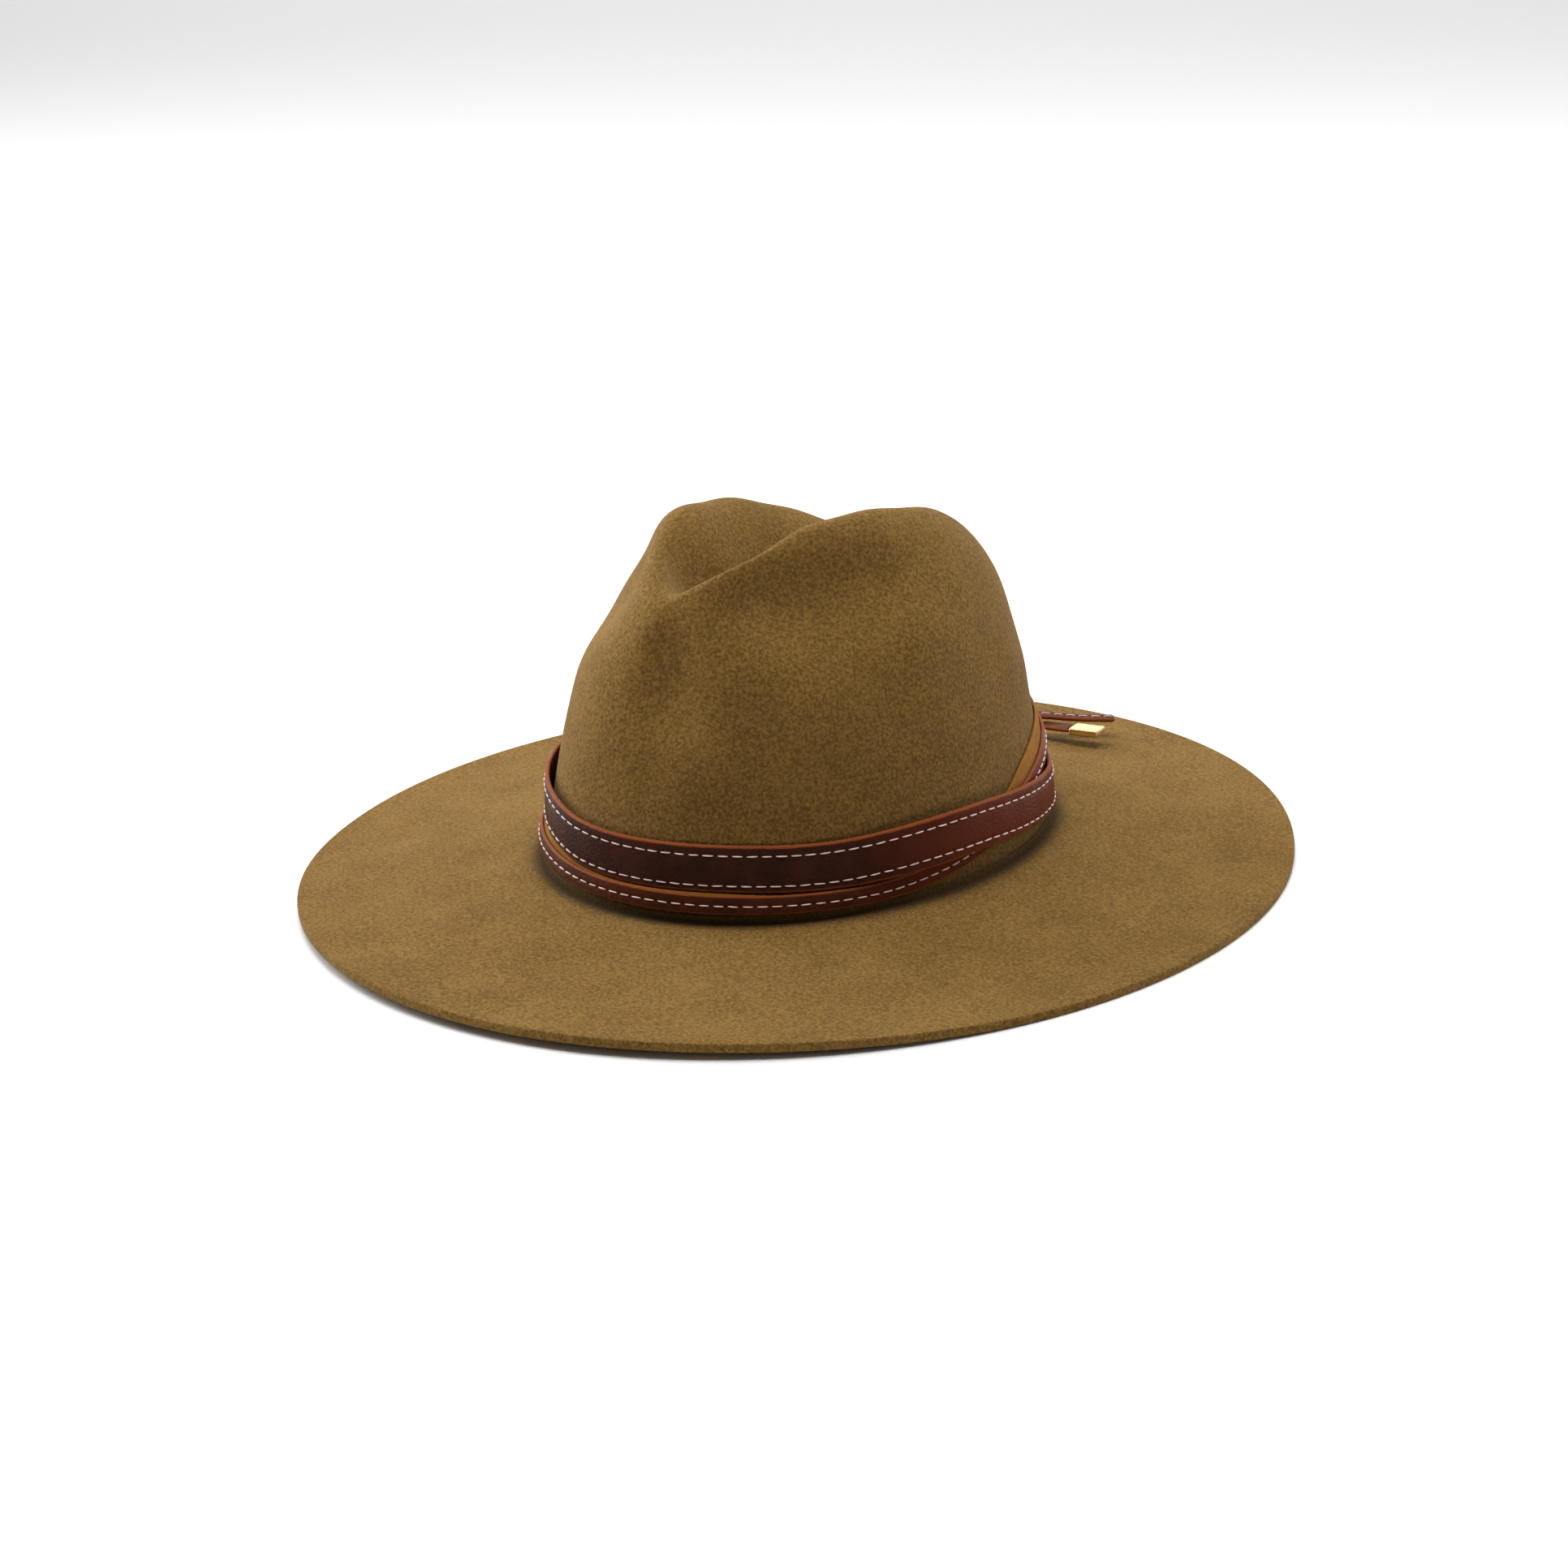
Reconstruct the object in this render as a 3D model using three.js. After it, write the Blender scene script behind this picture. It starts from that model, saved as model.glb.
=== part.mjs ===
// A wide-brim felt hat with a creased and pinched crown, wrapped with three narrow leather straps.
// Sizes are millimetres. +Z is up, the front of the hat faces -Y and the wearer's left is +X.
// The hat rests on the underside of its brim at z = 0, the origin is under the middle of the head.
// Angles run round the hat in degrees from the wearer's left: 0 left, 90 back, 180 right, -90 front.
import * as THREE from "three";

// Felt: one pressed piece, crown and brim
const FELT_THICKNESS = 3.0;
const HEAD_HALF_WIDTH = 84;
const HEAD_HALF_LENGTH = 102;
const BASE_FLARE = 2.4;
const BASE_FLARE_HEIGHT = 59;
const FLARE_HIGHER_AT_RIGHT = 12;
const COLUMNS_ROUND = 64;

// Brim: its inner line lies at the foot of the crown, its outer line at the raw cut edge
const BRIM_REACH = 91.7;
const BREAK_HEIGHT = 13.5;
const EDGE_TOP_AT_SIDES = 3.0;
const EDGE_RISE_FRONT_BACK = 2.9;
const FLAT_EDGE_SHARE = 0.93;
const FRONT_RISE_FROM = 0.3;
const BRIM_CURVE_POWER = 1.6;
const BREAK_FILLET = 2.0;
const FILLET_MIDDLE = 0.3;
const EDGE_BEVEL = 0.5;
const BRIM_RINGS = [14, 28, 44, 62];

// Rounded inside corner between the head hollow and the underside of the brim
const MOUTH_CORNER = [
  { out: 1.5, down: 3.0 },
  { out: -1.6, down: 2.3 },
  { out: -3.0, down: 0.4 },
];

// Crown before it is creased: a tapering dome with a flat, round-shouldered top
const CROWN_HEIGHT = 137.7;
const SHOULDER_POWER = 3.125;
const CROWN_TAPER = 0.148;
const LEAN_BACK = 3.4;
const FRONT_PULL_BACK = 2.9;
const CROWN_ROWS = 30;
const INNER_ROWS = 22;
const PROFILE_STEPS = 600;

// Crease along the top: a long trough, wider at the back than at the front
const CREASE_DEPTH = 56.5;
const CREASE_MIDDLE = -1.6;
const CREASE_REACH_FRONT = 62.0;
const CREASE_REACH_BACK = 71.9;
const CREASE_FRONT_POWER = 4;
const CREASE_HALF_WIDTH_FRONT = 17.6;
const CREASE_HALF_WIDTH_BACK = 29.6;
const CREASE_WIDEN_FROM = -90;
const CREASE_WIDEN_OVER = 130;
const CREASE_STARTS_AT = 0.30;
const CREASE_FULL_AT = 0.95;

// Set of the crown: it drops to the back and to the wearer's right, the front of the top stays up
const DROP_TO_BACK = 7.9;
const DROP_LENGTH = 100;
const DROP_TO_RIGHT = 8.8;
const FRONT_LIFT = 12.4;
const FRONT_LIFT_FROM = 40;
const FRONT_LIFT_OVER = 60;

// Front pinches: a hand-pressed hollow on each side of the nose of the crown
const PINCH_DEPTH = 12.8;
const PINCH_AT_Y = -53.7;
const PINCH_SLOPE = 0.843;
const PINCH_HEIGHT = 99.4;
const PINCH_HALF_LENGTH = 31.7;
const PINCH_HALF_HEIGHT = 23.1;
const PINCH_BLEND = 14;

// Shallower dents: a long one under the crease's edge at the wearer's left, a broad one beside the nose.
// Both fade out toward the parts of the crown that face the other way.
const SIDE_DENT_DEPTH = 8.0;
const SIDE_DENT_AT_Y = -33;
const SIDE_DENT_HEIGHT = 97;
const SIDE_DENT_RISE = 0.22;
const SIDE_DENT_HALF_LENGTH = 40;
const SIDE_DENT_HALF_HEIGHT = 12.5;
const FRONT_DENT_DEPTH = 5.0;
const FRONT_DENT_AT_X = 10;
const FRONT_DENT_HEIGHT = 72;
const FRONT_DENT_HALF_WIDTH = 15;
const FRONT_DENT_HALF_HEIGHT = 30;
const DENT_FADE = 2;

// Straps: leather thickness, and how wide each is
const UPPER_THICKNESS = 1.8;
const LOWER_THICKNESS = 1.3;
const OCHRE_THICKNESS = 1.0;
const STRAP_BEVEL = 0.35;

// The straps lie below this share of the crown's height; halving it this often finds a height on the wall
const WALL_TOP = 0.6;
const HALVINGS = 40;

// A row for each place round the crown where the strap changes:
// angle, height of its middle line, half of its width, gap to the felt, outward lean of its top edge
const UPPER_STRAP = [
  { at: -165, middle: 39.1, half: 8.1, gap: 0.3, lean: 1.7 },
  { at: -142, middle: 38.3, half: 8.1, gap: 0.3, lean: 2.3 },
  { at: -120, middle: 35.9, half: 8.1, gap: 0.4, lean: 2.1 },
  { at: -105, middle: 33.5, half: 8.1, gap: 0.4, lean: 1.6 },
  { at: -90, middle: 32.6, half: 8.1, gap: 0.4, lean: 0.9 },
  { at: -65, middle: 32.5, half: 8.1, gap: 0.4, lean: 0.2 },
  { at: -40, middle: 31.75, half: 8.25, gap: 1.2, lean: 0.0 },
  { at: -18, middle: 33.4, half: 8.6, gap: 3.4, lean: 0.0 },
  { at: -4, middle: 33.3, half: 8.4, gap: 3.3, lean: 0.1 },
  { at: 8, middle: 31.6, half: 8.2, gap: 3.2, lean: 0.3 },
  { at: 20, middle: 29.6, half: 8.1, gap: 2.7, lean: 0.9 },
  { at: 30, middle: 28.6, half: 8.1, gap: 2.2, lean: 1.3 },
  { at: 36, middle: 28.5, half: 8.1, gap: 1.3, lean: 1.1 },
  { at: 43, middle: 28.6, half: 8.1, gap: 0.4, lean: 0.7 },
  { at: 65, middle: 30.5, half: 8.1, gap: 0.4, lean: 0.3 },
  { at: 90, middle: 33.3, half: 8.1, gap: 0.5, lean: 0.2 },
  { at: 120, middle: 36.3, half: 8.1, gap: 0.5, lean: 0.2 },
  { at: 160, middle: 38.9, half: 8.1, gap: 0.5, lean: 0.4 },
];
const LOWER_STRAP = [
  { at: -165, middle: 23.4, half: 3.3, gap: 2.6, lean: 0.0 },
  { at: -142, middle: 23.0, half: 3.3, gap: 2.2, lean: 0.0 },
  { at: -120, middle: 22.4, half: 3.3, gap: 2.1, lean: 0.0 },
  { at: -105, middle: 21.5, half: 3.3, gap: 2.3, lean: 0.0 },
  { at: -90, middle: 21.1, half: 3.3, gap: 2.7, lean: 0.0 },
  { at: -65, middle: 20.6, half: 3.3, gap: 3.0, lean: 0.0 },
  { at: -47, middle: 20.0, half: 3.3, gap: 2.7, lean: 0.0 },
  { at: -30, middle: 19.8, half: 3.3, gap: 1.8, lean: 0.0 },
  { at: -18, middle: 21.6, half: 3.3, gap: 1.6, lean: 0.0 },
  { at: -7, middle: 24.6, half: 3.3, gap: 1.6, lean: 0.0 },
  { at: 5, middle: 30.0, half: 3.3, gap: 1.6, lean: 0.0 },
  { at: 15, middle: 34.8, half: 3.3, gap: 1.6, lean: 0.0 },
  { at: 26, middle: 38.5, half: 3.3, gap: 1.6, lean: 0.0 },
  { at: 38, middle: 41.3, half: 3.3, gap: 1.6, lean: 0.0 },
  { at: 65, middle: 43.9, half: 3.3, gap: 2.2, lean: 0.0 },
  { at: 90, middle: 46.1, half: 3.3, gap: 3.4, lean: 0.0 },
  { at: 115, middle: 43.3, half: 3.3, gap: 4.3, lean: 0.0 },
  { at: 140, middle: 34.3, half: 3.3, gap: 4.4, lean: 0.0 },
  { at: 165, middle: 26.1, half: 3.3, gap: 4.3, lean: 0.0 },
];
const OCHRE_STRAP = [
  { at: -165, middle: 25.6, half: 2.8, gap: 1.2, lean: 0.0 },
  { at: -142, middle: 26.2, half: 2.8, gap: 0.9, lean: 0.0 },
  { at: -120, middle: 24.5, half: 2.8, gap: 0.8, lean: 0.0 },
  { at: -105, middle: 22.2, half: 2.8, gap: 0.9, lean: 0.0 },
  { at: -90, middle: 21.3, half: 2.8, gap: 1.3, lean: 0.0 },
  { at: -65, middle: 21.2, half: 2.8, gap: 1.7, lean: 0.0 },
  { at: -47, middle: 19.8, half: 2.8, gap: 1.4, lean: 0.0 },
  { at: -30, middle: 19.5, half: 2.8, gap: 0.4, lean: 0.0 },
  { at: -18, middle: 21.5, half: 2.8, gap: 0.3, lean: 0.0 },
  { at: -7, middle: 25.2, half: 3.0, gap: 0.3, lean: 0.0 },
  { at: 8, middle: 34.0, half: 3.8, gap: 0.3, lean: 0.0 },
  { at: 16, middle: 39.6, half: 4.2, gap: 0.3, lean: 0.0 },
  { at: 26, middle: 44.0, half: 4.4, gap: 0.3, lean: 0.0 },
  { at: 38, middle: 46.8, half: 4.4, gap: 0.3, lean: 0.0 },
  { at: 65, middle: 48.8, half: 4.2, gap: 0.8, lean: 0.0 },
  { at: 90, middle: 50.0, half: 3.6, gap: 2.1, lean: 0.0 },
  { at: 115, middle: 46.0, half: 3.2, gap: 2.95, lean: 0.0 },
  { at: 140, middle: 36.0, half: 3.0, gap: 3.0, lean: 0.0 },
  { at: 165, middle: 27.2, half: 2.9, gap: 2.95, lean: 0.0 },
];

// Keeper: a plain upright leather piece that covers the straps where their ends come out, at the back
const KEEPER_FROM = 90;
const KEEPER_TO = 101.25;
const KEEPER_BOTTOM = 25;
const KEEPER_TOP = 55;
const KEEPER_GAP = 5.6;
const KEEPER_THICKNESS = 1.6;
const KEEPER_STEPS = 4;

// Tails: middle line of each loose strap end, from under the straps at the back out over the brim
const STITCHED_TAIL = [
  { x: -9, y: 106.6, z: 21.0 },
  { x: -13, y: 122, z: 20.5 },
  { x: -12, y: 138, z: 18.4 },
  { x: -5, y: 149, z: 16.8 },
  { x: 5, y: 156, z: 15.6 },
  { x: 16, y: 164, z: 14.3 },
  { x: 27, y: 172.5, z: 13.7 },
];
const TIPPED_TAIL = [
  { x: -2, y: 106.6, z: 18.4 },
  { x: -6, y: 119, z: 17.2 },
  { x: -7, y: 134, z: 14.7 },
  { x: -2, y: 146, z: 13.3 },
  { x: 8, y: 151.5, z: 13.0 },
  { x: 19.5, y: 153.5, z: 13.2 },
];
const STITCHED_TAIL_WIDTH = 6.4;
const STITCHED_TAIL_THICKNESS = 1.6;
const TIPPED_TAIL_WIDTH = 7.4;
const TIPPED_TAIL_THICKNESS = 1.6;
const TAIL_SAMPLES = 18;
const TIP_LENGTH = 12;
const TIP_WIDTH = 9.0;
const TIP_THICKNESS = 3.2;
const TIP_GAP = 0.3;
const TIP_BEVEL = 0.5;

const hat = new THREE.Group();
hat.name = "wide_brim_hat";

const radians = (degrees) => (degrees * Math.PI) / 180;
const mix = (a, b, share) => a + (b - a) * share;

// 0 up to 0, 1 from 1 on, with a smooth slope between
function smooth(value) {
  const clamped = Math.min(Math.max(value, 0), 1);
  return clamped * clamped * (3 - 2 * clamped);
}

// 1 in the middle of a hand-pressed hollow, falling off on both sides
function hollow(value) {
  return Math.exp(-value * value);
}

// Profile of the dome: share of the radius and share of the height, evenly spaced along its length
function domeProfile(rows) {
  const fine = [];
  let length = 0;
  for (let i = 0; i <= PROFILE_STEPS; i++) {
    const turn = (i / PROFILE_STEPS) * (Math.PI / 2);
    const radius = i === PROFILE_STEPS ? 0 : Math.pow(Math.cos(turn), 2 / SHOULDER_POWER);
    const height = Math.pow(Math.sin(turn), 2 / SHOULDER_POWER);
    if (i > 0) {
      const before = fine[i - 1];
      const across = (radius - before.radius) * HEAD_HALF_LENGTH;
      const up = (height - before.height) * CROWN_HEIGHT;
      length += Math.hypot(across, up);
    }
    fine.push({ radius, height, length });
  }
  const profile = [];
  let next = 1;
  for (let row = 0; row <= rows; row++) {
    const wanted = (length * row) / rows;
    while (next < PROFILE_STEPS && fine[next].length < wanted) {
      next++;
    }
    const low = fine[next - 1];
    const high = fine[next];
    const share = (wanted - low.length) / (high.length - low.length);
    profile.push({
      radius: mix(low.radius, high.radius, share),
      height: mix(low.height, high.height, share),
    });
  }
  return profile;
}

// A point of the crown's outside, from its place round the head and on the profile
function crownPoint(angle, radius, height) {
  const above = height * CROWN_HEIGHT;
  const flareTop = BASE_FLARE_HEIGHT - FLARE_HIGHER_AT_RIGHT * Math.cos(angle);
  const flare = BASE_FLARE * (1 - smooth(above / flareTop));
  const share = radius * (1 - CROWN_TAPER * height);
  const acrossOpen = (HEAD_HALF_WIDTH + flare) * share * Math.cos(angle);
  const pull = LEAN_BACK + FRONT_PULL_BACK * smooth(-Math.sin(angle)) * share;
  const along = (HEAD_HALF_LENGTH + flare) * share * Math.sin(angle) + pull * height;

  const fromMiddle = along - CREASE_MIDDLE;
  const towardFront = Math.pow(Math.abs(fromMiddle) / CREASE_REACH_FRONT, CREASE_FRONT_POWER);
  const lengthwise = fromMiddle < 0 ? Math.exp(-towardFront) : hollow(fromMiddle / CREASE_REACH_BACK);
  const widen = smooth((along - CREASE_WIDEN_FROM) / CREASE_WIDEN_OVER);
  const halfWidth = mix(CREASE_HALF_WIDTH_FRONT, CREASE_HALF_WIDTH_BACK, widen);
  const pressed = smooth((height - CREASE_STARTS_AT) / (CREASE_FULL_AT - CREASE_STARTS_AT));
  const crease = CREASE_DEPTH * lengthwise * hollow(acrossOpen / halfWidth) * pressed;

  const back = DROP_TO_BACK * (along / DROP_LENGTH) * height;
  const right = DROP_TO_RIGHT * (acrossOpen / HEAD_HALF_WIDTH) * height;
  const front = FRONT_LIFT * smooth((-along - FRONT_LIFT_FROM) / FRONT_LIFT_OVER) * height;

  const pinchMiddle = PINCH_AT_Y + PINCH_SLOPE * (above - PINCH_HEIGHT);
  const pinchAlong = hollow((along - pinchMiddle) / PINCH_HALF_LENGTH);
  const pinchUp = hollow((above - PINCH_HEIGHT) / PINCH_HALF_HEIGHT);
  const pinch = PINCH_DEPTH * pinchAlong * pinchUp * Math.tanh(acrossOpen / PINCH_BLEND);

  const dentMiddle = SIDE_DENT_HEIGHT + SIDE_DENT_RISE * (along - SIDE_DENT_AT_Y);
  const dentAlong = hollow((along - SIDE_DENT_AT_Y) / SIDE_DENT_HALF_LENGTH);
  const dentUp = hollow((above - dentMiddle) / SIDE_DENT_HALF_HEIGHT);
  const dent = SIDE_DENT_DEPTH * dentAlong * dentUp * smooth((acrossOpen / HEAD_HALF_WIDTH) * DENT_FADE);

  const pressedAcross = hollow((acrossOpen - FRONT_DENT_AT_X) / FRONT_DENT_HALF_WIDTH);
  const pressedUp = hollow((above - FRONT_DENT_HEIGHT) / FRONT_DENT_HALF_HEIGHT);
  const pressedIn = FRONT_DENT_DEPTH * pressedAcross * pressedUp * smooth(-Math.sin(angle) * DENT_FADE);

  return new THREE.Vector3(
    acrossOpen - pinch - dent,
    along + pressedIn,
    BREAK_HEIGHT + above - crease - back + right + front,
  );
}

// Outward direction of the crown at a profile place, from its neighbours round and along
function crownNormal(angle, profile, row) {
  const low = profile[Math.max(row - 1, 0)];
  const high = profile[Math.min(row + 1, profile.length - 1)];
  const here = profile[row];
  const turn = radians(1);
  const ahead = crownPoint(angle + turn, here.radius, here.height);
  const behind = crownPoint(angle - turn, here.radius, here.height);
  const above = crownPoint(angle, high.radius, high.height);
  const below = crownPoint(angle, low.radius, low.height);
  return new THREE.Vector3().crossVectors(ahead.sub(behind), above.sub(below)).normalize();
}

// Height of the brim's top side at a distance out from the foot of the crown
function brimTop(angle, out) {
  const towardFront = (Math.abs(Math.sin(angle)) - FRONT_RISE_FROM) / (1 - FRONT_RISE_FROM);
  const edge = EDGE_TOP_AT_SIDES + EDGE_RISE_FRONT_BACK * smooth(towardFront);
  const rest = Math.max(0, 1 - out / (BRIM_REACH * FLAT_EDGE_SHARE));
  return edge + (BREAK_HEIGHT - edge) * Math.pow(rest, BRIM_CURVE_POWER);
}

// A point on a line that runs round the head, at a distance out from the foot of the crown
function aroundHead(angle, out, height) {
  const halfWidth = HEAD_HALF_WIDTH + BASE_FLARE + out;
  const halfLength = HEAD_HALF_LENGTH + BASE_FLARE + out;
  return new THREE.Vector3(halfWidth * Math.cos(angle), halfLength * Math.sin(angle), height);
}

function columnAngles() {
  const angles = [];
  for (let i = 0; i < COLUMNS_ROUND; i++) {
    angles.push((i / COLUMNS_ROUND) * Math.PI * 2);
  }
  return angles;
}

// Turns vertices and triangles into a geometry with flat facets
function facets(points, triangles) {
  const positions = [];
  for (const [a, b, c] of triangles) {
    for (const index of [a, b, c]) {
      positions.push(points[index].x, points[index].y, points[index].z);
    }
  }
  const geometry = new THREE.BufferGeometry();
  geometry.setAttribute("position", new THREE.Float32BufferAttribute(positions, 3));
  geometry.computeVertexNormals();
  return geometry;
}

// Closed skin through rings of equal length, the first and last ring closed to a single point each
function skinBetweenPoles(firstPole, rings, lastPole) {
  const count = rings[0].length;
  const points = [firstPole, ...rings.flat(), lastPole];
  const last = points.length - 1;
  const triangles = [];
  for (let i = 0; i < count; i++) {
    const j = (i + 1) % count;
    triangles.push([0, 1 + i, 1 + j]);
    for (let ring = 0; ring < rings.length - 1; ring++) {
      const near = 1 + ring * count;
      const far = near + count;
      triangles.push([near + i, far + i, far + j], [near + i, far + j, near + j]);
    }
    const end = 1 + (rings.length - 1) * count;
    triangles.push([end + i, last, end + j]);
  }
  return facets(points, triangles);
}

// Solid through equal sections: a closed loop, or a bar with a flat cap on each end
function loft(sections, closed) {
  const count = sections[0].length;
  const points = sections.flat();
  const triangles = [];
  const spans = closed ? sections.length : sections.length - 1;
  for (let s = 0; s < spans; s++) {
    const near = s * count;
    const far = ((s + 1) % sections.length) * count;
    for (let i = 0; i < count; i++) {
      const j = (i + 1) % count;
      triangles.push([near + i, near + j, far + j], [near + i, far + j, far + i]);
    }
  }
  if (!closed) {
    const end = (sections.length - 1) * count;
    for (let i = 1; i < count - 1; i++) {
      triangles.push([0, i + 1, i], [end, end + i, end + i + 1]);
    }
  }
  return facets(points, triangles);
}

function addMesh(name, geometry, colour, roughness, metalness) {
  const material = new THREE.MeshStandardMaterial({ color: colour, roughness, metalness });
  const mesh = new THREE.Mesh(geometry, material);
  mesh.name = name;
  hat.add(mesh);
}

// Felt body: from the top of the crease outward and down, over the brim, round its cut edge, and back inside
function feltGeometry() {
  const angles = columnAngles();
  const outer = domeProfile(CROWN_ROWS);
  const inner = domeProfile(INNER_ROWS);
  const rings = [];
  for (let row = CROWN_ROWS - 1; row >= 1; row--) {
    rings.push(angles.map((angle) => crownPoint(angle, outer[row].radius, outer[row].height)));
  }
  const aboveBrim = [
    { out: 0, up: BREAK_FILLET },
    { out: BREAK_FILLET * FILLET_MIDDLE, up: BREAK_FILLET * FILLET_MIDDLE },
    { out: BREAK_FILLET, up: 0 },
  ];
  for (const place of aboveBrim) {
    rings.push(angles.map((angle) => aroundHead(angle, place.out, brimTop(angle, place.out) + place.up)));
  }
  const brimPlaces = [...BRIM_RINGS, BRIM_REACH * FLAT_EDGE_SHARE, BRIM_REACH - EDGE_BEVEL];
  for (const out of brimPlaces) {
    rings.push(angles.map((angle) => aroundHead(angle, out, brimTop(angle, out))));
  }
  for (const down of [EDGE_BEVEL, FELT_THICKNESS - EDGE_BEVEL]) {
    rings.push(angles.map((angle) => aroundHead(angle, BRIM_REACH, brimTop(angle, BRIM_REACH) - down)));
  }
  for (const out of [...brimPlaces].reverse()) {
    rings.push(angles.map((angle) => aroundHead(angle, out, brimTop(angle, out) - FELT_THICKNESS)));
  }
  for (const place of MOUTH_CORNER) {
    const from = Math.max(place.out, 0);
    rings.push(angles.map((angle) => aroundHead(angle, place.out, brimTop(angle, from) - place.down)));
  }
  for (let row = 1; row < INNER_ROWS; row++) {
    const place = inner[row];
    rings.push(angles.map((angle) => {
      const outward = crownNormal(angle, inner, row);
      return crownPoint(angle, place.radius, place.height).addScaledVector(outward, -FELT_THICKNESS);
    }));
  }
  const top = crownPoint(0, 0, 1);
  const under = top.clone().add(new THREE.Vector3(0, 0, -FELT_THICKNESS));
  return skinBetweenPoles(top, rings, under);
}

// Outside of the felt at a given height, close to the foot of the crown
function wallPoint(angle, height) {
  let low = 0;
  let high = WALL_TOP;
  for (let i = 0; i < HALVINGS; i++) {
    const middle = (low + high) / 2;
    const radius = Math.pow(1 - Math.pow(middle, SHOULDER_POWER), 1 / SHOULDER_POWER);
    if (crownPoint(angle, radius, middle).z < height) {
      low = middle;
    } else {
      high = middle;
    }
  }
  const radius = Math.pow(1 - Math.pow(low, SHOULDER_POWER), 1 / SHOULDER_POWER);
  return crownPoint(angle, radius, low);
}

// A strap's row at any angle, smoothly between the rows of its table
function strapRow(table, degrees) {
  const rows = table.slice().sort((a, b) => a.at - b.at);
  const count = rows.length;
  let index = rows.findIndex((row) => row.at > degrees);
  if (index < 0) {
    index = count;
  }
  const pick = (k) => {
    const row = rows[((k % count) + count) % count];
    return { ...row, at: row.at + 360 * Math.floor(k / count) };
  };
  const [before, from, to, after] = [pick(index - 2), pick(index - 1), pick(index), pick(index + 1)];
  const span = to.at - from.at;
  const share = (degrees - from.at) / span;
  const value = (key) => {
    const slopeFrom = ((to[key] - before[key]) / (to.at - before.at)) * span;
    const slopeTo = ((after[key] - from[key]) / (after.at - from.at)) * span;
    const square = share * share;
    const cube = square * share;
    return (2 * cube - 3 * square + 1) * from[key] + (cube - 2 * square + share) * slopeFrom
      + (3 * square - 2 * cube) * to[key] + (cube - square) * slopeTo;
  };
  return { middle: value("middle"), half: value("half"), gap: value("gap"), lean: value("lean") };
}

// Cross-section of a strap that lies round the crown: inner side plain, outer corners bevelled
function strapSection(row, angle, thickness) {
  const outward = new THREE.Vector3(Math.cos(angle), Math.sin(angle), 0);
  const place = (up, out) => {
    const lean = row.lean * (0.5 + up / (2 * row.half));
    return wallPoint(angle, row.middle + up).addScaledVector(outward, row.gap + lean + out);
  };
  return [
    place(row.half, 0),
    place(row.half, thickness - STRAP_BEVEL),
    place(row.half - STRAP_BEVEL, thickness),
    place(-row.half + STRAP_BEVEL, thickness),
    place(-row.half, thickness - STRAP_BEVEL),
    place(-row.half, 0),
  ];
}

function strapGeometry(table, thickness) {
  const sections = columnAngles().map((angle) => {
    const degrees = ((((angle * 180) / Math.PI) + 180) % 360) - 180;
    return strapSection(strapRow(table, degrees), angle, thickness);
  });
  return loft(sections, true);
}

function keeperGeometry() {
  const sections = [];
  for (let i = 0; i <= KEEPER_STEPS; i++) {
    const angle = radians(mix(KEEPER_FROM, KEEPER_TO, i / KEEPER_STEPS));
    const row = {
      middle: (KEEPER_TOP + KEEPER_BOTTOM) / 2,
      half: (KEEPER_TOP - KEEPER_BOTTOM) / 2,
      gap: KEEPER_GAP,
      lean: 0,
    };
    sections.push(strapSection(row, angle, KEEPER_THICKNESS));
  }
  return loft(sections, false);
}

// Flat bar across a middle line: sharp below, bevelled above, its width level
function barSection(point, along, width, thickness, bevel) {
  const up = new THREE.Vector3(0, 0, 1);
  const side = new THREE.Vector3().crossVectors(up, along).normalize();
  const normal = new THREE.Vector3().crossVectors(along, side).normalize();
  const place = (across, over) => point.clone().addScaledVector(side, across).addScaledVector(normal, over);
  const w = width / 2;
  const t = thickness / 2;
  return [
    place(-w, -t),
    place(w, -t),
    place(w, t - bevel),
    place(w - bevel, t),
    place(-w + bevel, t),
    place(-w, t - bevel),
  ];
}

function tailCurve(table) {
  const points = table.map((row) => new THREE.Vector3(row.x, row.y, row.z));
  return new THREE.CatmullRomCurve3(points, false, "centripetal");
}

function tailGeometry(table, width, thickness) {
  const curve = tailCurve(table);
  const sections = [];
  for (let i = 0; i <= TAIL_SAMPLES; i++) {
    const share = i / TAIL_SAMPLES;
    const point = curve.getPointAt(share);
    sections.push(barSection(point, curve.getTangentAt(share), width, thickness, STRAP_BEVEL));
  }
  return loft(sections, false);
}

// Metal tip: a solid bar that carries on from the end of the tail
function tipGeometry() {
  const curve = tailCurve(TIPPED_TAIL);
  const along = curve.getTangentAt(1);
  const start = curve.getPointAt(1).addScaledVector(along, TIP_GAP);
  const end = start.clone().addScaledVector(along, TIP_LENGTH);
  const ends = [start, end].map((point) => barSection(point, along, TIP_WIDTH, TIP_THICKNESS, TIP_BEVEL));
  return loft(ends, false);
}

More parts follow.
